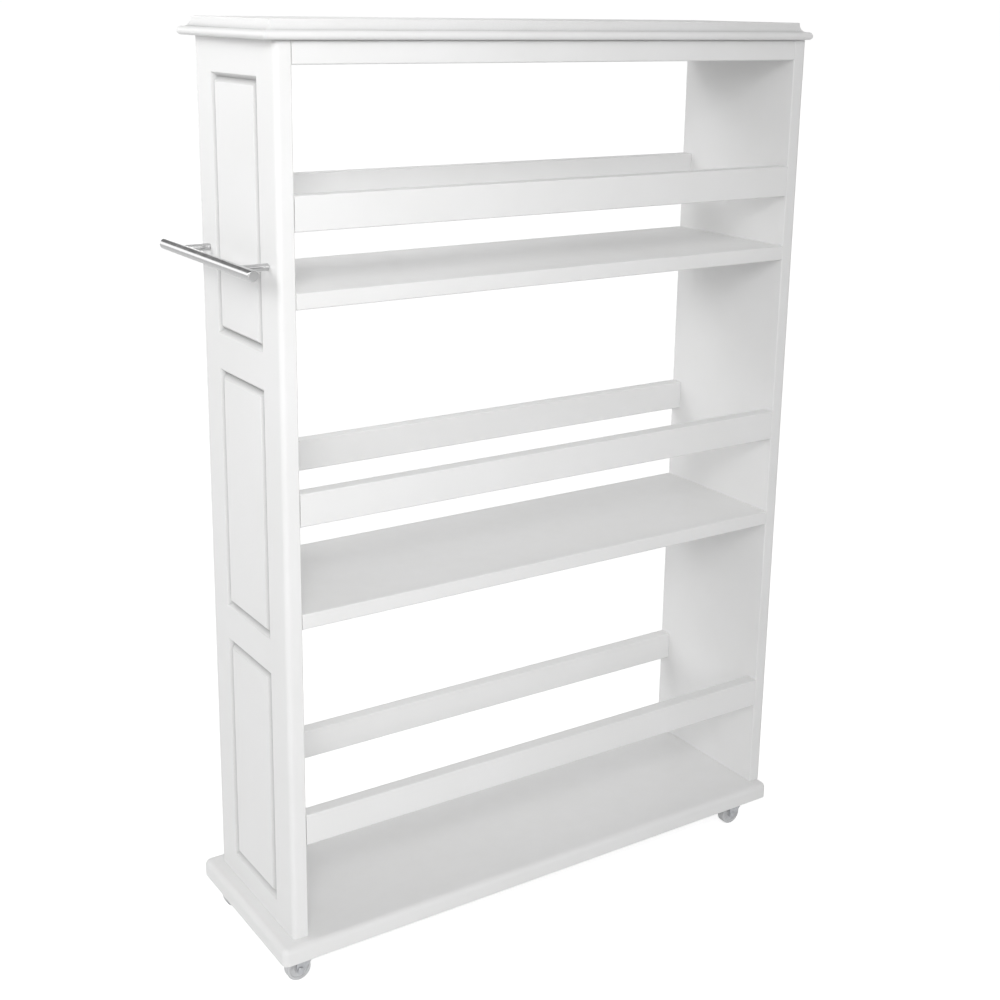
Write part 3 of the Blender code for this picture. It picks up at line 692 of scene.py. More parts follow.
class Finish:
    """A material in the making.

    Attributes:
        DRIFT: How far the surface drift swings either way.
    """

    DRIFT = 0.2

    def __init__(self, name: str, effects: Effects) -> None:
        """Starts an empty material.

        Args:
            name: Its name.
            effects: The shared node groups.
        """
        self.material = bpy.data.materials.new(name)
        self.material.use_nodes = True
        self.sheet = Sheet(self.material.node_tree)
        self.shader = self.material.node_tree.nodes["Principled BSDF"]
        self.effects = effects

    def grain(self, fine: float, slow: float) -> tuple[bpy.types.NodeSocket, bpy.types.NodeSocket]:
        """The height and the drift of a surface grain, at two scales."""
        outputs = self.effects.surface_grain.place(self.sheet, {"Fine scale": fine, "Slow scale": slow}).outputs
        return outputs["Height"], outputs["Drift"]

    def wear(self, radius: float, scale: float, amount: float) -> bpy.types.NodeSocket:
        """A mask of rubbed corners."""
        values = {"Radius": radius, "Scale": scale, "Amount": amount}
        return self.effects.edge_wear.place(self.sheet, values).outputs["Mask"]

    def dust(self, scale: float, amount: float) -> bpy.types.NodeSocket:
        """A mask of settled dust."""
        return self.effects.settled_dust.place(self.sheet, {"Scale": scale, "Amount": amount}).outputs["Mask"]

    def hollows(self, reach: float, amount: float) -> bpy.types.NodeSocket:
        """A mask of grooves and hollows, for painted shade."""
        return self.effects.hollow_shade.place(self.sheet, {"Reach": reach, "Amount": amount}).outputs["Mask"]

    def drifting(self, drift: bpy.types.NodeSocket, low: float, high: float) -> bpy.types.NodeSocket:
        """A value that follows the drift between two limits."""
        return self.sheet.ranged(drift, -self.DRIFT, self.DRIFT, low, high)

    def set_colour(self, value: object) -> None:
        """Sets the base colour."""
        self.sheet.feed(self.shader.inputs["Base Color"], value)

    def set_roughness(self, base: object, mask: object = None, extra: float = 0.0) -> None:
        """Sets the roughness.

        Args:
            base: The plain roughness.
            mask: Where it rises, or nothing.
            extra: How much it rises there.
        """
        rough = base if mask is None else self.sheet.maths("ADD", base, self.sheet.maths("MULTIPLY", mask, extra))
        self.sheet.feed(self.shader.inputs["Roughness"], rough)

    def set_bump(self, height: object, distance: float, strength: float = 0.5) -> None:
        """Sets the surface relief.

        Args:
            height: The height, about one half.
            distance: How deep it goes, in metres.
            strength: How much of it shows.
        """
        fields = {"Height": height, "Distance": distance, "Strength": strength}
        self.sheet.feed(self.shader.inputs["Normal"], self.sheet.add("ShaderNodeBump", fields).outputs[0])


@dataclass(frozen=True)
class SatinPaint:
    """Sprayed satin white lacquer: faint orange peel, slow gloss drift, lightly rubbed arrises and painted shade in its
    grooves and hollows.

    Attributes:
        white: How white it is.
        rubbed: Tone of a rubbed arris.
        dusty: Tone of settled dust.
        recess: Painted shade: the dark tone that grooves and hollows take where the piece shades itself.
        roughness: Its middle roughness.
        peel_height: Depth of the orange peel.
        refraction: The lacquer's refractive index.
    """

    white: float = 0.83
    rubbed: tuple[float, float, float] = (0.62, 0.60, 0.56)
    dusty: tuple[float, float, float] = (0.70, 0.69, 0.67)
    recess: tuple[float, float, float] = (0.34, 0.34, 0.34)
    roughness: float = 0.38
    peel_height: float = 0.00004
    refraction: float = 1.47

    def build(self, effects: Effects) -> bpy.types.Material:
        """Makes the material.

        Args:
            effects: The shared node groups.

        Returns:
            The material.
        """
        finish = Finish("satin_white_lacquer", effects)
        sheet = finish.sheet
        height, drift = finish.grain(620.0, 11.0)
        wear = finish.wear(0.0011, 75.0, 0.35)
        dust = finish.dust(55.0, 0.10)
        lacquer = sheet.mixed(
            finish.drifting(drift, 0.0, 1.0),
            colour(self.white * 0.985, self.white * 0.985, self.white * 0.98),
            toned([self.white] * 3, 1.012),
        )
        dusted = sheet.mixed(dust, sheet.mixed(wear, lacquer, colour(*self.rubbed)), colour(*self.dusty))
        # Painted shade: grooves and hollows darken towards the recess tone where the piece shades itself.
        finish.set_colour(sheet.mixed(finish.hollows(0.009, 0.9), dusted, colour(*self.recess)))
        gloss = finish.drifting(drift, self.roughness - 0.05, self.roughness + 0.06)
        dulled = sheet.maths("ADD", gloss, sheet.maths("MULTIPLY", dust, 0.8))
        finish.set_roughness(dulled, wear, 0.25)
        finish.set_bump(height, self.peel_height, 0.6)
        finish.shader.inputs["IOR"].default_value = self.refraction
        return finish.material


@dataclass(frozen=True)
class BrushedSteel:
    """Satin stainless steel, finely brushed round its bar.

    Attributes:
        name: The material's name.
        tone: How bright it is.
        roughness: Its middle roughness.
        axis: The bar's axis, 0 to 2.
        lines: Scale of the brushed lines along the bar.
        polished: Tone of a rubbed edge.
    """

    name: str
    tone: float = 0.62
    roughness: float = 0.17
    axis: int = 1
    lines: float = 2600.0
    polished: float = 0.80

    def build(self, effects: Effects) -> bpy.types.Material:
        """Makes the material.

        Args:
            effects: The shared node groups.

        Returns:
            The material.
        """
        finish = Finish(self.name, effects)
        sheet = finish.sheet
        hairs = sheet.noise(sheet.stretched(self.axis, self.lines, 30.0), 1.0, 3.0, 0.6)
        wear = finish.wear(0.0006, 300.0, 0.5)
        drift = finish.grain(900.0, 60.0)[1]
        steel = sheet.mixed(
            sheet.ranged(hairs, 0.3, 0.7, 0.0, 1.0),
            colour(self.tone * 0.88, self.tone * 0.88, self.tone * 0.89),
            toned([self.tone] * 3, 1.08),
        )
        finish.set_colour(sheet.mixed(wear, steel, toned([self.polished] * 3, 1.0)))
        brushed = sheet.ranged(hairs, 0.3, 0.7, self.roughness - 0.05, self.roughness + 0.08)
        finish.set_roughness(brushed, drift, 0.25)
        finish.set_bump(hairs, 0.00001, 0.35)
        finish.shader.inputs["Metallic"].default_value = 1.0
        return finish.material


@dataclass(frozen=True)
class CoatedMetal:
    """Zinc in one of its two looks: bright plating on stampings, or a dull casting.

    Attributes:
        name: The material's name.
        tone: Its middle tone.
        roughness: Its middle roughness.
        fine_scale: Scale of the fine grain.
        slow_scale: Scale of the spangle.
        height: Depth of the grain.
        dust: How much dust settles on it.
        rubbed: Tone of a rubbed edge.
        dusty: Tone of the dust.
    """

    name: str
    tone: tuple[float, float, float] = (0.55, 0.56, 0.58)
    roughness: float = 0.30
    fine_scale: float = 1400.0
    slow_scale: float = 160.0
    height: float = 0.00003
    dust: float = 0.15
    rubbed: tuple[float, float, float] = (0.74, 0.74, 0.74)
    dusty: tuple[float, float, float] = (0.42, 0.40, 0.37)

    def build(self, effects: Effects) -> bpy.types.Material:
        """Makes the material.

        Args:
            effects: The shared node groups.

        Returns:
            The material.
        """
        finish = Finish(self.name, effects)
        sheet = finish.sheet
        height, drift = finish.grain(self.fine_scale, self.slow_scale)
        wear = finish.wear(0.0004, 500.0, 0.7)
        dust = finish.dust(400.0, self.dust)
        spangle = sheet.ranged(drift, -0.18, 0.18, 0.0, 1.0)
        plated = sheet.mixed(spangle, toned(self.tone, 0.84), toned(self.tone, 1.12))
        finish.set_colour(sheet.mixed(dust, sheet.mixed(wear, plated, colour(*self.rubbed)), colour(*self.dusty)))
        finish.set_roughness(finish.drifting(drift, self.roughness - 0.07, self.roughness + 0.1), dust, 0.6)
        finish.set_bump(height, self.height)
        finish.shader.inputs["Metallic"].default_value = 1.0
        return finish.material


@dataclass(frozen=True)
class MouldedNylon:
    """Pale grey moulded wheel, scuffed on its edges.

    Attributes:
        tone: Its middle tone.
        scuffed: Tone of a scuff.
        roughness: Its middle roughness.
    """

    tone: tuple[float, float, float] = (0.62, 0.625, 0.635)
    scuffed: tuple[float, float, float] = (0.30, 0.29, 0.28)
    roughness: float = 0.44

    def build(self, effects: Effects) -> bpy.types.Material:
        """Makes the material.

        Args:
            effects: The shared node groups.

        Returns:
            The material.
        """
        finish = Finish("moulded_grey_nylon", effects)
        height, drift = finish.grain(1500.0, 220.0)
        wear = finish.wear(0.0006, 420.0, 0.8)
        swirl = finish.drifting(drift, 0.0, 1.0)
        nylon = finish.sheet.mixed(swirl, toned(self.tone, 0.92), toned(self.tone, 1.06))
        finish.set_colour(finish.sheet.mixed(wear, nylon, colour(*self.scuffed)))
        finish.set_roughness(finish.drifting(drift, self.roughness - 0.06, self.roughness + 0.08), wear, 0.3)
        finish.set_bump(height, 0.00004)
        return finish.material


@dataclass(frozen=True)
class RawBeech:
    """Raw beech of the dowels, with fine flecks along the grain.

    Attributes:
        axis: The way of the grain, 0 to 2.
        fleck: Tone of a fleck.
        pale: Tone between flecks.
        rubbed: Tone of a rubbed edge.
    """

    axis: int
    fleck: tuple[float, float, float] = (0.42, 0.26, 0.13)
    pale: tuple[float, float, float] = (0.62, 0.42, 0.24)
    rubbed: tuple[float, float, float] = (0.66, 0.50, 0.34)

    def build(self, effects: Effects) -> bpy.types.Material:
        """Makes the material.

        Args:
            effects: The shared node groups.

        Returns:
            The material.
        """
        finish = Finish(f"raw_beech_{'xyz'[self.axis]}", effects)
        sheet = finish.sheet
        flecks = sheet.noise(sheet.stretched(self.axis, 120.0, 1400.0), 1.0, 4.0, 0.6)
        wood = sheet.mixed(sheet.ranged(flecks, 0.35, 0.65, 0.0, 1.0), colour(*self.fleck), colour(*self.pale))
        finish.set_colour(sheet.mixed(finish.wear(0.0005, 500.0, 0.6), wood, colour(*self.rubbed)))
        finish.set_roughness(sheet.ranged(flecks, 0.3, 0.7, 0.62, 0.80))
        finish.set_bump(flecks, 0.00005)
        return finish.material


@dataclass
class Palette:
    """Every finish of the cart.

    Attributes:
        paint: The boards.
        bar_steel: The handle's bar.
        post_steel: Its posts.
        zinc: Screws and caster stampings.
        cast_zinc: The cams.
        nylon: The wheels.
        beech_across: Dowels that lie along the cart.
        beech_upright: Dowels that stand.
    """

    paint: bpy.types.Material
    bar_steel: bpy.types.Material
    post_steel: bpy.types.Material
    zinc: bpy.types.Material
    cast_zinc: bpy.types.Material
    nylon: bpy.types.Material
    beech_across: bpy.types.Material
    beech_upright: bpy.types.Material

    @classmethod
    def build(cls) -> Palette:
        """Makes every finish.

        Returns:
            The palette.
        """
        effects = Effects.build()
        return cls(
            paint=SatinPaint().build(effects),
            bar_steel=BrushedSteel("brushed_steel_bar", axis=1).build(effects),
            post_steel=BrushedSteel("brushed_steel_post", axis=0, roughness=0.2).build(effects),
            zinc=CoatedMetal("bright_zinc_plate").build(effects),
            cast_zinc=CoatedMetal("dull_cast_zinc", (0.40, 0.40, 0.41), 0.46, 900.0, 240.0, 0.00006).build(effects),
            nylon=MouldedNylon().build(effects),
            beech_across=RawBeech(axis=0).build(effects),
            beech_upright=RawBeech(axis=2).build(effects),
        )


# Carcass.


def bore_for(tools: Solid, node: str, way: tuple[int, int, int]) -> None:
    """Adds the cutter of a hole that takes a hidden fixing with a little room.

    Args:
        tools: The solid that takes the cutter.
        node: The fixing.
        way: The fixing's axis.
    """
    box = Box.of(node)
    radius = max(size / 2 for size, along in zip(box.size, way) if not along) + CLEARANCE
    half = box.size.dot(Vector(way)) / 2 + CLEARANCE
    tools.add_rod(radius, box.centre, way, (-half, half))


@dataclass
class EndPanels:
    """The two end panels; the handle end has three routed rectangles.

    Attributes:
        outer_radius: Rounding of the upright corners that face outwards.
        inner_radius: Rounding of the upright corners that face the shelves.
        arris: Softening of every other edge.
        fields: How many rectangles are routed.
        side_margin: From a panel edge to a groove's outer lip.
        top_margin: The same from the panel's top.
        bottom_margin: The same from the panel's bottom.
        spacing: Between the lips of neighbouring rectangles.
        groove_width: Width of a groove.
        groove_depth: Its depth.
        lip_radius: Rounding of its two lips.
    """

    outer_radius: float = 0.005
    inner_radius: float = 0.0015
    arris: float = 0.0004
    fields: int = 3
    side_margin: float = 0.036
    top_margin: float = 0.030
    bottom_margin: float = 0.024
    spacing: float = 0.033
    groove_width: float = 0.0095
    groove_depth: float = 0.0048
    lip_radius: float = 0.0012

    def build(self, palette: Palette, rails: Sequence[str]) -> None:
        """Builds both panels.

        Args:
            palette: The finishes.
            rails: The rail nodes, whose tenons the panels take.
        """
        for end in End:
            node = f"{end.word}_end_panel"
            whole = Box.of(node)
            box = Box(whole.low - Vector((0.0, 0.0, CLOSING)), whole.high)
            outer = box.low.x if end is End.LEFT else box.high.x
            flat_ends = (box.low.z, box.high.z)
            solid = Solid().add_box(box)
            solid.round_edges(lambda e: runs_along(e, 2) and not at_level(e, 0, outer), self.inner_radius)
            solid.round_edges(lambda e: runs_along(e, 2) and at_level(e, 0, outer), self.outer_radius, segments=10)
            solid.round_edges(lambda e: any(at_level(e, 2, z) for z in flat_ends), self.arris, segments=2)
            if end is End.LEFT:
                self._rout(solid, box)
            panel = mesh_object(f"painted_{node}", solid)
            carve(panel, self._sockets(end, box, rails))
            paint_piece(node, panel, palette)

    def _rout(self, solid: Solid, box: Box) -> None:
        """Routs the rectangles into the outer face.

        Args:
            solid: The panel.
            box: Its box.
        """
        low_y, high_y = box.low.y + self.side_margin, box.high.y - self.side_margin
        first, last = box.low.z + self.bottom_margin, box.high.z - self.top_margin
        height = (last - first - (self.fields - 1) * self.spacing) / self.fields
        bottoms = [first + index * (height + self.spacing) for index in range(self.fields)]
        cuts = [(ALONG_Y, y) for y in (low_y, high_y)]
        cuts += [(ALONG_Z, z) for bottom in bottoms for z in (bottom, bottom + height)]
        for normal, level in cuts:
            faces = [face for face in solid.bm.faces if face.normal.x < -0.99]
            edges = dict.fromkeys(edge for face in faces for edge in face.edges)
            verts = dict.fromkeys(vert for face in faces for vert in face.verts)
            place = Vector(normal) * level
            bmesh.ops.bisect_plane(
                solid.bm, geom=[*faces, *edges, *verts], dist=MERGE_REACH / 10, plane_co=place, plane_no=normal
            )
            solid.bm.normal_update()
        for bottom in bottoms:
            middle = Vector((box.low.x, box.centre.y, bottom + height / 2))
            face = min(solid.bm.faces, key=lambda f: (f.calc_center_median() - middle).length)
            solid.mould(face, self._groove_steps())

    def _groove_steps(self) -> list[tuple[float, float]]:
        """Works out the moves across one groove: a rounded lip, two slopes that meet in a vee and a second lip.

        Returns:
            (inset, rise) moves.
        """
        lip = self.lip_radius
        half = self.groove_width / 2
        slope = math.atan2(self.groove_depth, half)
        near = [(lip * math.sin(a), -lip * (1 - math.cos(a))) for a in sweep(slope, 4)]
        far = [(2 * half - inset, rise) for inset, rise in reversed(near)]
        return steps_of([*near, (half, -self.groove_depth), *far])

    def _sockets(self, end: End, box: Box, rails: Sequence[str]) -> Solid:
        """Gathers the cutters of one panel's mortises and bores.

        Args:
            end: The panel's end of the cart.
            box: The panel's box.
            rails: The rail nodes.

        Returns:
            The cutters.
        """
        tools = Solid()
        sign = end.value
        inner = box.high.x if end is End.LEFT else box.low.x
        margin = TENON_SHOULDER - CLEARANCE
        for rail in rails:
            rail_box = Box.of(rail).grown(0.0, -margin, -margin)
            reach = inner + sign * (TENON_LENGTH + CLEARANCE)
            mouth = inner - sign * OVERCUT
            low = Vector((min(reach, mouth), rail_box.low.y, rail_box.low.z))
            high = Vector((max(reach, mouth), rail_box.high.y, rail_box.high.z))
            tools.add_box(Box(low, high))
        for level in SHELF_LEVELS:
            for fixing in ("dowel", "cam_bolt"):
                bore_for(tools, f"{level}_shelf_{fixing}_{end.word}", ALONG_X)
        for side in Side:
            bore_for(tools, f"cap_dowel_{side.word}_{end.word}", ALONG_Z)
            screw = Box.of(f"base_screw_{side.word}_{end.word}")
            rise = screw.high.z - box.low.z + CLEARANCE
            start = (screw.centre.x, screw.centre.y, box.low.z)
            tools.add_rod(Fixings.screw_shank + CLEARANCE, start, ALONG_Z, (-OVERCUT, rise))
            if end is End.LEFT:
                handle_screw = Box.of(f"handle_screw_{side.word}")
                start = (box.low.x, handle_screw.centre.y, handle_screw.centre.z)
                through = (-OVERCUT, box.size.x + OVERCUT)
                tools.add_rod(Fixings.handle_screw_shank + CLEARANCE, start, ALONG_X, through)
        return tools


@dataclass
class Rails:
    """The guard rails and the two top rails, with a stub tenon at each end.

    Attributes:
        edge_radius: Rounding of the long edges.
    """

    edge_radius: float = 0.0015

    @staticmethod
    def nodes() -> list[str]:
        """The rail nodes."""
        return [f"{level}_{side.word}_rail" for level in RAIL_LEVELS for side in Side]

    def build(self, palette: Palette) -> None:
        """Builds every rail.

        Args:
            palette: The finishes.
        """
        for node in self.nodes():
            whole = Box.of(node)
            shoulder = Vector((TENON_LENGTH - CLOSING, 0.0, 0.0))
            body = Box(whole.low + shoulder, whole.high - shoulder)
            solid = Solid().add_box(body)
            arrises = [edge for edge in solid.bm.edges if runs_along(edge, 0)]
            for sign in (-1, 1):
                self._add_tenon(solid, sign)
            solid.round_edges(lambda edge: edge in arrises, self.edge_radius, segments=5)
            rail = mesh_object(f"painted_{node}", solid)
            paint_piece(node, rail, palette)

    def _add_tenon(self, solid: Solid, sign: int) -> None:
        """Grows a stub tenon from one end face.

        Args:
            solid: The rail.
            sign: -1 for the handle end, 1 for the plain end.
        """
        end = solid.outermost((sign, 0, 0))
        bmesh.ops.inset_region(solid.bm, faces=[end], thickness=TENON_SHOULDER, use_even_offset=True)
        made = bmesh.ops.extrude_face_region(solid.bm, geom=[end])["geom"]
        moved = [item for item in made if isinstance(item, bmesh.types.BMVert)]
        bmesh.ops.delete(solid.bm, geom=[end], context="FACES_ONLY")
        bmesh.ops.translate(solid.bm, verts=moved, vec=(sign * (TENON_LENGTH - CLOSING), 0.0, 0.0))


@dataclass
class Shelves:
    """The two loose shelves, bored for their dowels, bolts and cams.

    Attributes:
        edge_radius: Rounding of the long edges.
        end_arris: Softening of the ends.
        pocket_chamfer: Chamfer at a cam pocket's mouth.
    """

    edge_radius: float = 0.0015
    end_arris: float = 0.0003
    pocket_chamfer: float = 0.0004

    def build(self, palette: Palette) -> None:
        """Builds both shelves.

        Args:
            palette: The finishes.
        """
        for level in SHELF_LEVELS:
            node = f"{level}_shelf"
            box = Box.of(node).grown(CLOSING, 0.0, 0.0)
            ends = (box.low.x, box.high.x)
            solid = Solid().add_box(box)
            solid.round_edges(lambda e: runs_along(e, 0), self.edge_radius, segments=5)
            solid.round_edges(lambda e: any(at_level(e, 0, x) for x in ends), self.end_arris, segments=2)
            shelf = mesh_object(f"painted_{node}", solid)
            bores, pockets = Solid(), Solid()
            for end in End:
                for fixing in ("dowel", "cam_bolt"):
                    bore_for(bores, f"{level}_shelf_{fixing}_{end.word}", ALONG_X)
                cam = Box.of(f"{level}_shelf_cam_{end.word}")
                radius = cam.size.x / 2 + CLEARANCE
                mouth = radius + self.pocket_chamfer
                profile = [(mouth, -OVERCUT), (mouth, 0.0), (radius, self.pocket_chamfer)]
                profile.append((radius, cam.size.z + CLEARANCE))
                pockets.add_turned(profile, (cam.centre.x, cam.centre.y, box.low.z), ALONG_Z, 64)
            carve(shelf, bores)
            carve(shelf, pockets)
            paint_piece(node, shelf, palette)


@dataclass
class Cap:
    """The moulded cap: a rounded nose, a quirk, a hollow and a square upper edge.

    Attributes:
        nose_radius: Radius of the half-round nose.
        quirk: Width of the flat step above it.
        cove_width: Width of the hollow.
        cove_height: Height of the hollow.
        edge: Rounding of the upper edge.
        mould_segments: Facets in each quarter of the nose.
    """

    nose_radius: float = 0.0038
    quirk: float = 0.0010
    cove_width: float = 0.0052
    cove_height: float = 0.0076
    edge: float = 0.0006
    mould_segments: int = 10

    def build(self, palette: Palette) -> None:
        """Builds the cap.

        Args:
            palette: The finishes.
        """
        box = Box.of("cap_board")
        flat = box.size.z - 2 * self.nose_radius - self.cove_height - self.edge
        straight = flat / 4
        waist = box.low.z + self.nose_radius
        low = Vector((box.low.x, box.low.y, waist))
        solid = Solid().add_box(Box(low, Vector((box.high.x, box.high.y, waist + straight))))
        nose = quarter(self.nose_radius, self.mould_segments)
        solid.mould(solid.outermost((0, 0, -1)), nose)
        upper = [*nose, (self.quirk, 0.0), *hollow(self.cove_width, self.cove_height)]
        upper += [(0.0, flat - straight), *quarter(self.edge, segments=3)]
        solid.mould(solid.outermost(ALONG_Z), upper)
        cap = mesh_object("painted_cap_board", solid)
        tools = Solid()
        for place in corner_places():
            bore_for(tools, f"cap_dowel_{place}", ALONG_Z)
        carve(cap, tools)
        paint_piece("cap_board", cap, palette, smooth_angle=30.0)


@dataclass
class Base:
    """The base board, which is also the lowest shelf, with a rounded upper edge and rounded corners.

    Attributes:
        nose_radius: Rounding of the upper edge.
        corner_radius: Rounding of the corners in plan.
        lower_edge: Rounding of the lower edge.
    """

    nose_radius: float = 0.006
    corner_radius: float = 0.0066
    lower_edge: float = 0.001

    def build(self, palette: Palette, pilot_holes: Sequence[Point]) -> None:
        """Builds the board.

        Args:
            palette: The finishes.
            pilot_holes: Where the caster screws enter its underside.
        """
        box = Box.of("base_board")
        low = box.low + Vector((0.0, 0.0, self.lower_edge))
        high = box.high - Vector((0.0, 0.0, self.nose_radius))
        solid = Solid().add_box(Box(low, high))
        solid.round_edges(lambda e: runs_along(e, 2), self.corner_radius, segments=8)
        solid.mould(solid.outermost((0, 0, -1)), quarter(self.lower_edge, segments=3))
        solid.mould(solid.outermost(ALONG_Z), quarter(self.nose_radius, segments=10))
        board = mesh_object("painted_base_board", solid)
        tools = Solid()
        for place in corner_places():
            screw = Box.of(f"base_screw_{place}")
            start = (screw.centre.x, screw.centre.y, box.low.z)
            tools.add_turned(self._countersink(screw, box.size.z), start, ALONG_Z, 32)
        pilot = Fixings.plate_screw_shank + CLEARANCE
        for hole in pilot_holes:
            start = (hole[0], hole[1], box.low.z)
            tools.add_rod(pilot, start, ALONG_Z, (-OVERCUT, Fixings.plate_screw_length), steps=16)
        carve(board, tools)
        paint_piece("base_board", board, palette, smooth_angle=30.0)

    @staticmethod
    def _countersink(screw: Box, thickness: float) -> Profile:
        """Works out the section of a countersunk hole.

        Args:
            screw: The screw's box.
            thickness: The board's thickness.

        Returns:
            (radius, distance) points from the underside up.
        """
        head = screw.size.x / 2 + CLEARANCE
        shank = Fixings.screw_shank + CLEARANCE
        depth = Fixings.screw_head_depth + CLEARANCE
        return [(head, -OVERCUT), (head, CLEARANCE), (shank, depth), (shank, thickness + OVERCUT)]


# Fixings.


@dataclass
class Fixings:
    """Screws, cams, bolts and dowels.

    Attributes:
        screw_shank: Radius of the base screws.
        screw_head_depth: Depth of their countersunk heads.
        screw_edge: Softening of their heads.
        handle_screw_shank: Radius of the handle screws.
        handle_screw_head: Height of their heads.
        cam_edge: Softening of a cam's rim.
        cam_rim: How far the rim stands up.
        plate_screw_shank: Radius of the caster screws.
        plate_screw_length: How far a caster screw reaches into the base board.
    """

    screw_shank: float = 0.003
    screw_head_depth: float = 0.003
    screw_edge: float = 0.0002
    handle_screw_shank: float = 0.0016
    handle_screw_head: float = 0.0022
    cam_edge: float = 0.0003
    cam_rim: float = 0.0004
    plate_screw_shank: float = 0.0015
    plate_screw_length: float = 0.011

    @staticmethod
    def cross(head: bpy.types.Object, centre: Point, axis: int, arms: tuple[float, float, float]) -> None:
        """Cuts a screwdriver recess into a head.

        Args:
            head: The object that is cut.
            centre: The middle of the head's face.
            axis: The screw's axis, 0 to 2.
            arms: Half the recess across, half an arm's width, and its depth.
        """
        reach, width, depth = arms
        tools = Solid()
        across = [index for index in range(3) if index != axis]
        for long, short in (across, across[::-1]):
            half = Vector((0.0, 0.0, 0.0))
            half[axis], half[long], half[short] = depth, reach, width
            tools.add_box(Box(Vector(centre) - half, Vector(centre) + half))
        carve(head, tools)

    def build(self, palette: Palette) -> None:
        """Builds the visible fixings and dresses the hidden ones.

        Args:
            palette: The finishes.
        """
        for place in corner_places():
            self._base_screw(palette, f"base_screw_{place}")
        for side in Side:
            self._handle_screw(palette, f"handle_screw_{side.word}")
        for level in SHELF_LEVELS:
            for end in End:
                self._cam(palette, level, end)
        self._dress_hidden(palette)

    def _base_screw(self, palette: Palette, node: str) -> None:
        """Builds a countersunk screw, head down.

        Args:
            palette: The finishes.
            node: The CAD node that it replaces.
        """
        box = Box.of(node)
        head = box.size.x / 2
        length = box.size.z
        edge = self.screw_edge
        profile = [
            (head - edge, 0.0),
            (head, edge),
            (head, 2 * edge),
            (self.screw_shank, self.screw_head_depth),
            (self.screw_shank, length - self.screw_shank),
            (self.screw_shank / 3, length),
        ]
        face = Vector((box.centre.x, box.centre.y, box.low.z))
        screw = mesh_object(f"zinc_{node}", Solid().add_turned(profile, face, ALONG_Z, 32))
        self.cross(screw, face, 2, (0.0026, 0.0005, 0.0018))
        finish_piece(screw, palette.zinc, Placing(Body.CART, Slot.ZINC, (node,)))

    def _handle_screw(self, palette: Palette, node: str) -> None:
        """Builds a pan-head screw that holds the handle from inside the upper bay.

        Args:
            palette: The finishes.
            node: The CAD node that it replaces.
        """
        box = Box.of(node)
        head, shank, rise = box.size.y / 2, self.handle_screw_shank, self.handle_screw_head
        length = box.size.x
        face = Vector((box.high.x, box.centre.y, box.centre.z))
        profile = dome(head, 0.0, rise * 0.62, (0.35, 0.6, 0.85, 1.1, 1.35))
        profile += [(head, rise * 0.7), (head, rise), (shank, rise), (shank, length - shank / 2), (shank / 2, length)]
        screw = mesh_object(f"zinc_{node}", Solid().add_turned(profile, face, (-1, 0, 0), 32))
        self.cross(screw, face, 0, (0.0021, 0.00045, 0.0014))
        finish_piece(screw, palette.zinc, Placing(Body.CART, Slot.ZINC, (node,)))

    def _cam(self, palette: Palette, level: str, end: End) -> None:
        """Builds a cast cam with a raised rim and a cross recess, open towards its bolt.

        Args:
            palette: The finishes.
            level: The shelf that holds it.
            end: Its end of the shelf.
        """
        node = f"{level}_shelf_cam_{end.word}"
        box = Box.of(node)
        radius = box.size.y / 2
        edge = self.cam_edge
        face = Vector((box.centre.x, box.centre.y, box.low.z))
        profile = [
            (radius * 0.80, self.cam_rim),
            (radius * 0.84, 0.0),
            (radius - edge, 0.0),
            (radius, edge),
            (radius, box.size.z - edge),
            (radius - edge, box.size.z),
        ]
        cam = mesh_object(f"cast_{node}", Solid().add_turned(profile, face, ALONG_Z, 64))
        bolt = Box.of(f"{level}_shelf_cam_bolt_{end.word}")
        mouth = bolt.size.z / 2 + CLEARANCE
        start = (box.centre.x, box.centre.y, bolt.centre.z)
        entry = (-OVERCUT - radius, CLEARANCE * 2)
        carve(cam, Solid().add_rod(mouth, start, (-end.value, 0, 0), entry))
        self.cross(cam, face, 2, (radius * 0.62, 0.0007, 0.0024))
        finish_piece(cam, palette.cast_zinc, Placing(Body.CART, Slot.CAM, (node,)))

    @staticmethod
    def _dress_hidden(palette: Palette) -> None:
        """Gives the dowels and the cam bolts, which keep their CAD shapes, their finishes.

        Args:
            palette: The finishes.
        """
        for name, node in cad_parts.items():
            if "dowel" in name:
                material = palette.beech_upright if "cap" in name else palette.beech_across
            elif "cam_bolt" in name:
                material = palette.zinc
            else:
                continue
            node.data.materials.clear()
            node.data.materials.append(material)


# Handle.


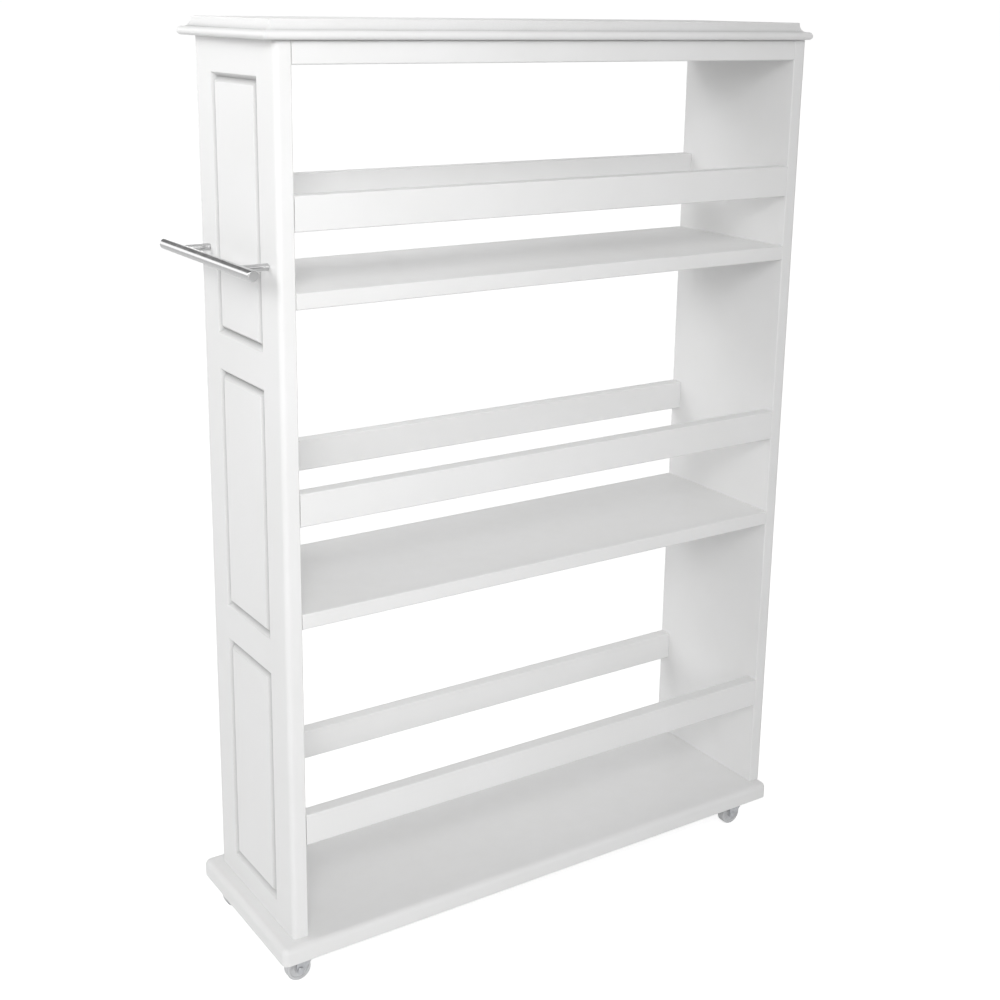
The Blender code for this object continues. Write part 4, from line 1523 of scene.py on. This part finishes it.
@dataclass
class Handle:
    """A round bar on two posts.

    Attributes:
        edge: Radius of the bar's turned ends.
        post_radius: Radius of a post.
        post_chamfer: Chamfer where it meets the panel.
        saddle_gap: Space left between a post's saddled end and the bar.
        thread_depth: Depth of a post's screw hole.
    """

    edge: float = 0.0007
    post_radius: float = 0.0033
    post_chamfer: float = 0.0003
    saddle_gap: float = 0.0001
    thread_depth: float = 0.016

    def build(self, palette: Palette) -> None:
        """Builds the bar and its posts.

        Args:
            palette: The finishes.
        """
        box = Box.of("handle_bar")
        radius = box.size.z / 2
        end = box.size.y / 2
        turned = [
            (radius - self.edge * (1 - math.sin(a)), -end + self.edge * (1 - math.cos(a)))
            for a in (0.0, 0.5, 1.05, QUARTER_TURN)
        ]
        bar = mesh_object("steel_handle_bar", Solid().add_turned(mirrored(turned), box.centre, ALONG_Y, 64))
        finish_piece(bar, palette.bar_steel, Placing(Body.CART, Slot.HANDLE, ("handle_bar",)))
        for side in Side:
            self._post(palette, side, box.centre, radius)

    def _post(self, palette: Palette, side: Side, bar: Vector, bar_radius: float) -> None:
        """Builds one post, saddled to the bar and bored for its screw.

        Args:
            palette: The finishes.
            side: Its side of the cart.
            bar: The bar's centre.
            bar_radius: The bar's radius.
        """
        node = f"handle_post_{side.word}"
        box = Box.of(node)
        seat = Vector((box.high.x, box.centre.y, box.centre.z))
        reach = seat.x - bar.x
        chamfer = self.post_chamfer
        profile = [(self.post_radius - chamfer, 0.0), (self.post_radius, chamfer), (self.post_radius, reach)]
        post = mesh_object(f"steel_{node}", Solid().add_turned(profile, seat, (-1, 0, 0), 40))
        tools = Solid()
        across = (-2 * self.post_radius, 2 * self.post_radius)
        tools.add_rod(bar_radius + self.saddle_gap, (bar.x, box.centre.y, bar.z), ALONG_Y, across, steps=64)
        hole = Fixings.handle_screw_shank + CLEARANCE
        tools.add_rod(hole, seat, (-1, 0, 0), (-OVERCUT, self.thread_depth))
        carve(post, tools)
        finish_piece(post, palette.post_steel, Placing(Body.CART, Slot.HANDLE, (node,)))


# Casters.


@dataclass
class Casters:
    """Four small swivel casters, each shape made once about its swivel axis and then set in place.

    Attributes:
        trail: How far the axle lies behind the swivel axis.
        wheel_radius: Radius of the tread.
        wheel_width: Width of the tread.
        tread_edge: Rounding of the tread's sides.
        hub_radius: Radius of the hub's face.
        hub_width: Width over the hub.
        bore: Radius of the hub's bore.
        web_share: Thickness of the wheel's web, as a share of the tread's width.
        plate_thickness: Thickness of the mounting plate.
        plate_corner: Radius of its corners.
        plate_edge: Rounding of its lower edge.
        plate_hole: Radius of its screw holes.
        hole_inset: From the plate's edges to its screw holes.
        race_radius: Radius of the pressed ball race.
        race_edge: Rounding of its bends.
        race_height: From the race's lower face to the seat of a plate screw.
        pin_head: Radius of the kingpin's heads.
        pin_shank: Radius of its shank.
        pin_head_height: Height of its heads.
        pin_bore: Radius of the kingpin's hole in the plate and the fork.
        pin_pocket: Radius of the pocket for its upper head.
        pin_pocket_depth: Depth of that pocket.
        gauge: Thickness of the fork's steel.
        fork_half_length: Half the length of the fork's crown.
        bend: Outer and inner radius of its folds.
        eye_radius: Radius of the fork's eye about the axle.
        fork_softening: Softening of the fork's cut edges.
        axle_shank: Radius of the axle.
        axle_head_height: Height of its riveted heads.
        screw_head: Radius of a plate screw's head.
        screw_rise: Height of that head.
    """

    trail: float = 0.006
    wheel_radius: float = 0.0125
    wheel_width: float = 0.010
    tread_edge: float = 0.0016
    hub_radius: float = 0.0042
    hub_width: float = 0.0114
    bore: float = 0.0023
    web_share: float = 0.60
    plate_thickness: float = 0.0015
    plate_corner: float = 0.004
    plate_edge: float = 0.0004
    plate_hole: float = 0.0020
    hole_inset: float = 0.0045
    race_radius: float = 0.008
    race_edge: float = 0.0006
    race_height: float = 0.0018
    pin_head: float = 0.004
    pin_shank: float = 0.0028
    pin_head_height: float = 0.0008
    pin_bore: float = 0.0031
    pin_pocket: float = 0.0043
    pin_pocket_depth: float = 0.0014
    gauge: float = 0.0015
    fork_half_length: float = 0.0095
    bend: tuple[float, float] = (0.0022, 0.0007)
    eye_radius: float = 0.0045
    fork_softening: float = 0.00018
    axle_shank: float = 0.002
    axle_head_height: float = 0.001
    screw_head: float = 0.0031
    screw_rise: float = 0.0016

    def _holes(self, box: Box) -> list[tuple[float, float]]:
        """Where a plate's screw holes lie from its centre."""
        half_x = box.size.x / 2 - self.hole_inset
        half_y = box.size.y / 2 - self.hole_inset
        return [(x, y) for x in (-half_x, half_x) for y in (-half_y, half_y)]

    def screw_places(self) -> list[Vector]:
        """Finds where every plate screw enters the base board.

        Returns:
            The points, four to a caster.
        """
        found = []
        for place in corner_places():
            box = Box.of(f"caster_plate_{place}")
            found += [Vector((box.centre.x + x, box.centre.y + y, box.high.z)) for x, y in self._holes(box)]
        return found

    def build(self, palette: Palette) -> None:
        """Builds the shapes once and sets them at every place.

        Args:
            palette: The finishes.
        """
        sample = Box.of("caster_plate_front_left")
        shapes = {
            "plate": self._plate(sample),
            "pin": self._pin(),
            "fork": self._fork(),
            "axle": self._axle(),
            "wheel": self._wheel(),
        }
        for place in corner_places():
            centre = Box.of(f"caster_plate_{place}").centre
            here = Matrix.Translation((centre.x, centre.y, 0.0))
            bodies = dict.fromkeys(("plate", "pin"), Body.CART)
            bodies |= dict.fromkeys(("fork", "axle"), Body.swivel(place))
            bodies["wheel"] = Body.wheel(place)
            for kind, shape in shapes.items():
                node = f"caster_{kind}_{place}"
                nylon = kind == "wheel"
                piece = moved_copy(f"{'nylon' if nylon else 'zinc'}_{node}", shape, here)
                placing = Placing(bodies[kind], Slot.NYLON if nylon else Slot.ZINC, (node,))
                finish_piece(piece, palette.nylon if nylon else palette.zinc, placing, smooth_angle=35.0)
        for shape in shapes.values():
            bpy.data.objects.remove(shape)
        self._screws(palette, sample.low.z + self.race_height)

    def _plate(self, sample: Box) -> bpy.types.Object:
        """Makes the pressed plate with its race and screw holes.

        Args:
            sample: The box of one plate.

        Returns:
            The shape.
        """
        drop, top = sample.low.z, sample.high.z
        under = top - self.plate_thickness
        half_x, half_y = sample.size.x / 2, sample.size.y / 2
        solid = Solid().add_box(Box(Vector((-half_x, -half_y, under)), Vector((half_x, half_y, top))))
        solid.round_edges(lambda e: runs_along(e, 2), self.plate_corner, segments=8)
        solid.round_edges(lambda e: at_level(e, 2, under), self.plate_edge, segments=3)
        plate = mesh_object("caster_plate_shape", solid)
        radius, edge = self.race_radius, self.race_edge
        race = [(radius - edge, drop), (radius, drop + edge), (radius, under - edge)]
        race += [(radius + edge, under), (radius + edge, under + edge)]
        carve(plate, Solid().add_turned(race, (0, 0, 0), ALONG_Z, 64), "UNION")
        tools = Solid()
        step = top - self.pin_pocket_depth
        bore = [(self.pin_bore, drop - OVERCUT), (self.pin_bore, step)]
        bore += [(self.pin_pocket, step), (self.pin_pocket, top + OVERCUT)]
        tools.add_turned(bore, (0, 0, 0), ALONG_Z, 40)
        for x, y in self._holes(sample):
            tools.add_rod(self.plate_hole, (x, y, 0), ALONG_Z, (under - OVERCUT, top + OVERCUT))
        carve(plate, tools)
        return plate

    def _pin(self) -> bpy.types.Object:
        """Makes the kingpin, with a domed head below the fork.

        Returns:
            The shape.
        """
        box = Box.of("caster_pin_front_left")
        head, shank, rise = self.pin_head, self.pin_shank, self.pin_head_height
        low, high = box.low.z, box.high.z
        profile = [
            (head * 0.55, low),
            (head * 0.85, low + 0.0002),
            (head, low + 0.0005),
            (head, low + rise),
            (shank, low + rise),
            (shank, high - rise),
            (head, high - rise),
            (head, high),
        ]
        return mesh_object("caster_pin_shape", Solid().add_turned(profile, (0, 0, 0), ALONG_Z, 40))

    def _channel(self, half_width: float, top: float) -> list[tuple[float, float]]:
        """Works out the section of the folded channel that the fork is cut from.

        Args:
            half_width: Half the width over the fork.
            top: The height of the crown's upper face.

        Returns:
            (y, z) points right round the section.
        """
        loops = []
        for side, roof, bend in zip((half_width, half_width - self.gauge), (top, top - self.gauge), self.bend):
            fold = [(side - bend * (1 - math.cos(a)), roof - bend * (1 - math.sin(a))) for a in sweep(QUARTER_TURN, 6)]
            half = [(side, -OVERCUT), *fold]
            loops.append([*half, *((-y, z) for y, z in reversed(half))])
        outer, inner = loops
        return [*outer, *reversed(inner)]

    def _fork(self) -> bpy.types.Object:
        """Makes the bent fork: a folded channel cut to a side outline that sweeps back to the axle eye.

        Returns:
            The shape.
        """
        sample = Box.of("caster_fork_front_left")
        top = sample.high.z
        under = top - self.gauge
        half_width = sample.size.y / 2
        half = self.fork_half_length
        start = -half - self.eye_radius - self.trail
        section = [(start, y, z) for y, z in self._channel(half_width, top)]
        solid = Solid().add_prism(section, (half - start + OVERCUT, 0, 0))
        fork = mesh_object("caster_fork_shape", solid)
        eye = [
            (-self.trail + self.eye_radius * math.cos(a), self.wheel_radius + self.eye_radius * math.sin(a))
            for a in (math.radians(-12) - turn for turn in sweep(math.radians(168), 16))
        ]
        shoulder = under - 2 * self.gauge
        side = [(half, top + OVERCUT), (half, shoulder), *eye, (-half, shoulder), (-half, top + OVERCUT)]
        width = half_width + OVERCUT
        carve(fork, Solid().add_prism([(x, -width, z) for x, z in side], (0, 2 * width, 0)), "INTERSECT")
        tools = Solid()
        tools.add_rod(self.pin_bore, (0, 0, 0), ALONG_Z, (under - OVERCUT, top + OVERCUT), steps=40)
        tools.add_rod(self.bore, (-self.trail, 0, self.wheel_radius), ALONG_Y, (-width, width), steps=32)
        carve(fork, tools)
        soften = fork.modifiers.new("Soften", "BEVEL")
        soften.width = self.fork_softening
        soften.segments = 2
        soften.limit_method = "ANGLE"
        soften.angle_limit = math.radians(40)
        settle(fork)
        return fork

    def _axle(self) -> bpy.types.Object:
        """Makes the riveted axle with domed heads.

        Returns:
            The shape.
        """
        box = Box.of("caster_axle_front_left")
        tip, head, rise = box.size.y / 2, box.size.z / 2, self.axle_head_height
        seat = tip - rise
        half = dome(head, -tip, rise * 0.8, (0.3, 0.6, 0.9, 1.2, 1.5))
        half += [(head, -seat - rise / 10), (head, -seat), (self.axle_shank, -seat)]
        centre = (-self.trail, 0.0, self.wheel_radius)
        return mesh_object("caster_axle_shape", Solid().add_turned(mirrored(half), centre, ALONG_Y, 40))

    def _wheel(self) -> bpy.types.Object:
        """Makes the moulded wheel: bored hub, dished web with a step, and a crowned tread.

        Returns:
            The shape.
        """
        hub, rim = self.hub_width / 2, self.wheel_width / 2
        web = rim * self.web_share
        radius, side = self.wheel_radius, self.tread_edge
        half = [
            (self.bore, hub - 0.0002),
            (self.bore + 0.0002, hub),
            (self.hub_radius - 0.0003, hub),
            (self.hub_radius, hub - 0.0003),
            (self.hub_radius + 0.0001, web + 0.0003),
            (self.hub_radius + 0.0005, web),
            (radius * 0.70, web),
            (radius * 0.735, web + 0.0002),
            (radius * 0.77, rim - 0.0004),
            (radius * 0.79, rim - 0.0001),
            (radius * 0.82, rim),
        ]
        tread = (0.0, 0.4, 0.8, 1.2, QUARTER_TURN)
        half += [(radius - side * (1 - math.sin(a)), rim - side * (1 - math.cos(a))) for a in tread]
        centre = (-self.trail, 0.0, radius)
        solid = Solid().add_turned(mirrored(half), centre, ALONG_Y, 72, bored=True)
        return mesh_object("caster_wheel_shape", solid)

    def _screws(self, palette: Palette, seat: float) -> None:
        """Builds the pan-head screws that hold the plates, heads down.

        Args:
            palette: The finishes.
            seat: The height at which their heads seat.
        """
        head, rise = self.screw_head, self.screw_rise
        shank, length = Fixings.plate_screw_shank, Fixings.plate_screw_length
        profile = dome(head, -rise, rise * 0.7, (0.35, 0.7, 1.05, 1.4))
        profile += [(head, -rise * 0.2), (head, -0.00005), (shank, -0.00005)]
        profile += [(shank, length - 0.002), (shank * 0.3, length)]
        shape = mesh_object("plate_screw_shape", Solid().add_turned(profile, (0, 0, 0), ALONG_Z, 28))
        Fixings.cross(shape, (0.0, 0.0, -rise), 2, (0.0017, 0.00038, 0.0011))
        places = corner_places()
        for number, place in enumerate(self.screw_places()):
            name = f"zinc_plate_screw_{places[number // 4]}_{number % 4 + 1}"
            turn = Matrix.Rotation(0.7 * number, 4, "Z")
            piece = moved_copy(name, shape, Matrix.Translation((place.x, place.y, seat)) @ turn)
            finish_piece(piece, palette.zinc, Placing(Body.CART, Slot.ZINC), smooth_angle=35.0)
        bpy.data.objects.remove(shape)


# Studio.


@dataclass(frozen=True)
class SoftBox:
    """A square studio light whose grid narrows its beam.

    Attributes:
        name: The light's name.
        place: Where it hangs.
        aim: The point that it faces.
        size: Its side.
        spread: The beam's full angle, in degrees.
        power: Its power, in watts.
    """

    name: str
    place: tuple[float, float, float]
    aim: tuple[float, float, float]
    size: float
    spread: float
    power: float

    def build(self) -> None:
        """Hangs the light and points it."""
        light = bpy.data.lights.new(self.name, "AREA")
        light.shape = "SQUARE"
        light.size = self.size
        light.spread = math.radians(self.spread)
        light.energy = self.power
        lamp = link(self.name, light)
        lamp.location = self.place
        lamp.rotation_euler = (Vector(self.aim) - Vector(self.place)).to_track_quat("-Z", "Y").to_euler()


@dataclass
class Studio:
    """An opal floor, a soft surround, soft boxes and the camera.

    Attributes:
        lens: Focal length on a 36 mm sensor, in millimetres.
        eye: Where the camera stands.
        yaw: Its turn from +Y towards +X, in degrees.
        pitch: Its dip below the horizon, in degrees.
        roll: Its lean, in degrees.
        shift_up: The lens shift.
        floor_white: Reflectance of the floor.
        floor_light: How much light the opal floor gives off.
        floor_glow: How much brighter it looks to the camera.
        floor_gloss_share: How much of that glow shows in glossy pieces.
        floor_half: Half the floor's side.
        sky: Strength of the surround near the horizon, half way up and overhead.
        cards: Strength of the white card and of the black card above it, both behind the cart.
        backdrop: Strength of the surround as the camera sees it.
        soft_boxes: The studio lights.
    """

    lens: float = 54.57
    eye: tuple[float, float, float] = (-0.8277, -1.2522, 0.9212)
    yaw: float = 33.51
    pitch: float = 14.62
    roll: float = 0.877
    shift_up: float = -0.10
    floor_white: float = 0.80
    floor_light: float = 0.05
    floor_glow: float = 0.60
    floor_gloss_share: float = 0.4
    floor_half: float = 14.0
    sky: tuple[float, float, float] = (0.0, 1.08, 0.0)
    cards: tuple[float, float] = (1.6, 0.22)
    backdrop: float = 1.02
    soft_boxes: tuple[SoftBox, ...] = (
        SoftBox("key_soft_box", (-1.0, -1.4, 1.35), (-0.40, -0.08, 0.85), 0.5, 95.0, 2.55),
        SoftBox("high_soft_box", (-0.6, -1.2, 1.45), (-0.40, -0.08, 0.85), 0.5, 60.0, 0.65),
        SoftBox("left_soft_box", (-1.5, 0.5, 1.4), (-0.28, 0.0, 0.9), 0.6, 70.0, 1.0),
        SoftBox("back_left_soft_box", (-1.5, 1.3, 1.3), (-0.2, 0.0, 0.5), 0.9, 180.0, 2.4),
        SoftBox("low_soft_box", (-0.9, -1.5, 0.5), (-0.3, -0.08, 0.2), 0.5, 70.0, 0.75),
    )

    def build(self) -> None:
        """Builds everything round the cart."""
        self._floor()
        self._surround()
        for box in self.soft_boxes:
            box.build()
        self._camera()
        bpy.context.scene.view_settings.view_transform = "Standard"

    def _floor(self) -> None:
        """Lays the floor."""
        solid = Solid()
        bmesh.ops.create_grid(solid.bm, x_segments=1, y_segments=1, size=self.floor_half)
        mesh = bpy.data.meshes.new("studio_floor")
        solid.bm.to_mesh(mesh)
        solid.bm.free()
        floor = link("studio_floor", mesh)
        material = bpy.data.materials.new("opal_floor")
        material.use_nodes = True
        sheet = Sheet(material.node_tree)
        shader = material.node_tree.nodes["Principled BSDF"]
        tone = sheet.noise(sheet.mapped(), 3.0, 3.0, 0.5)
        low, high = self.floor_white * 0.995, min(1.0, self.floor_white * 1.005)
        share = sheet.ranged(tone, 0.3, 0.7, 0.0, 1.0)
        sheet.feed(shader.inputs["Base Color"], sheet.mixed(share, colour(low, low, low), colour(high, high, high)))
        shader.inputs["Roughness"].default_value = 0.9
        shader.inputs["Specular IOR Level"].default_value = 0.0
        shader.inputs["Emission Color"].default_value = colour(1.0, 1.0, 1.0)
        rays = sheet.add("ShaderNodeLightPath").outputs
        mirrored_share = sheet.maths("MULTIPLY", rays["Is Glossy Ray"], self.floor_gloss_share)
        seen = sheet.maths("ADD", rays["Is Camera Ray"], mirrored_share)
        glow = sheet.ranged(seen, 0.0, 1.0, self.floor_light, self.floor_light + self.floor_glow)
        sheet.feed(shader.inputs["Emission Strength"], glow)
        mesh.materials.append(material)

    def _surround(self) -> None:
        """Surrounds the cart with a band of light, and hangs a white and a black card behind it."""
        world = bpy.data.worlds.new("studio_surround")
        bpy.context.scene.world = world
        world.use_nodes = True
        sheet = Sheet(world.node_tree)
        back = world.node_tree.nodes["Background"]
        way = sheet.add("ShaderNodeTexCoord").outputs["Generated"]
        parts = sheet.add("ShaderNodeSeparateXYZ", {0: way}).outputs
        height = parts["Z"]
        low, middle, high = self.sky
        rise = sheet.ranged(height, 0.05, 0.35, low, middle)
        crown = sheet.ranged(height, 0.60, 0.90, 0.0, high - middle)
        fade = sheet.maths("ADD", rise, crown)
        white, black = self.cards
        card = sheet.ranged(height, 0.24, 0.30, white, black)
        behind = sheet.ranged(parts["Y"], 0.80, 0.86, 0.0, 1.0)
        fade = sheet.ranged(behind, 0.0, 1.0, fade, card)
        seen = sheet.add("ShaderNodeLightPath").outputs["Is Camera Ray"]
        strength = sheet.ranged(seen, 0.0, 1.0, fade, self.backdrop)
        sheet.feed(back.inputs["Strength"], strength)
        back.inputs["Color"].default_value = colour(1.0, 1.0, 1.0)

    def _camera(self) -> None:
        """Stands the camera where it looks along the cart from its handle end."""
        data = bpy.data.cameras.new("studio_camera")
        data.lens = self.lens
        data.sensor_width = 36.0
        data.shift_y = self.shift_up
        data.clip_start, data.clip_end = 0.05, 60.0
        camera = link("studio_camera", data)
        camera.location = self.eye
        lean = Matrix.Rotation(math.radians(self.roll), 3, "Z")
        dip = Matrix.Rotation(math.radians(90.0 - self.pitch), 3, "X")
        turn = Matrix.Rotation(math.radians(-self.yaw), 3, "Z")
        camera.rotation_euler = (turn @ dip @ lean).to_euler()
        bpy.context.scene.camera = camera


def main() -> None:
    """Builds the cart's looks round the frame, then the studio."""
    logging.basicConfig(level=logging.INFO, format="%(message)s")
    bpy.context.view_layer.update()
    palette = Palette.build()
    casters = Casters()
    EndPanels().build(palette, Rails.nodes())
    Rails().build(palette)
    Shelves().build(palette)
    Cap().build(palette)
    Base().build(palette, casters.screw_places())
    Fixings().build(palette)
    Handle().build(palette)
    casters.build(palette)
    Studio().build()
    bpy.context.view_layer.update()


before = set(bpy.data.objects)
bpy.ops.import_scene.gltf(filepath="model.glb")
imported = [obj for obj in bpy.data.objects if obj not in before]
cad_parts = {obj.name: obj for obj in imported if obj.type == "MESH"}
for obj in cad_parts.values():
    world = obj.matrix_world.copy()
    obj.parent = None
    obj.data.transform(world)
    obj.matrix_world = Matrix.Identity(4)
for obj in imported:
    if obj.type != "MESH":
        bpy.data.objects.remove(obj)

if __name__ == "__main__":
    main()
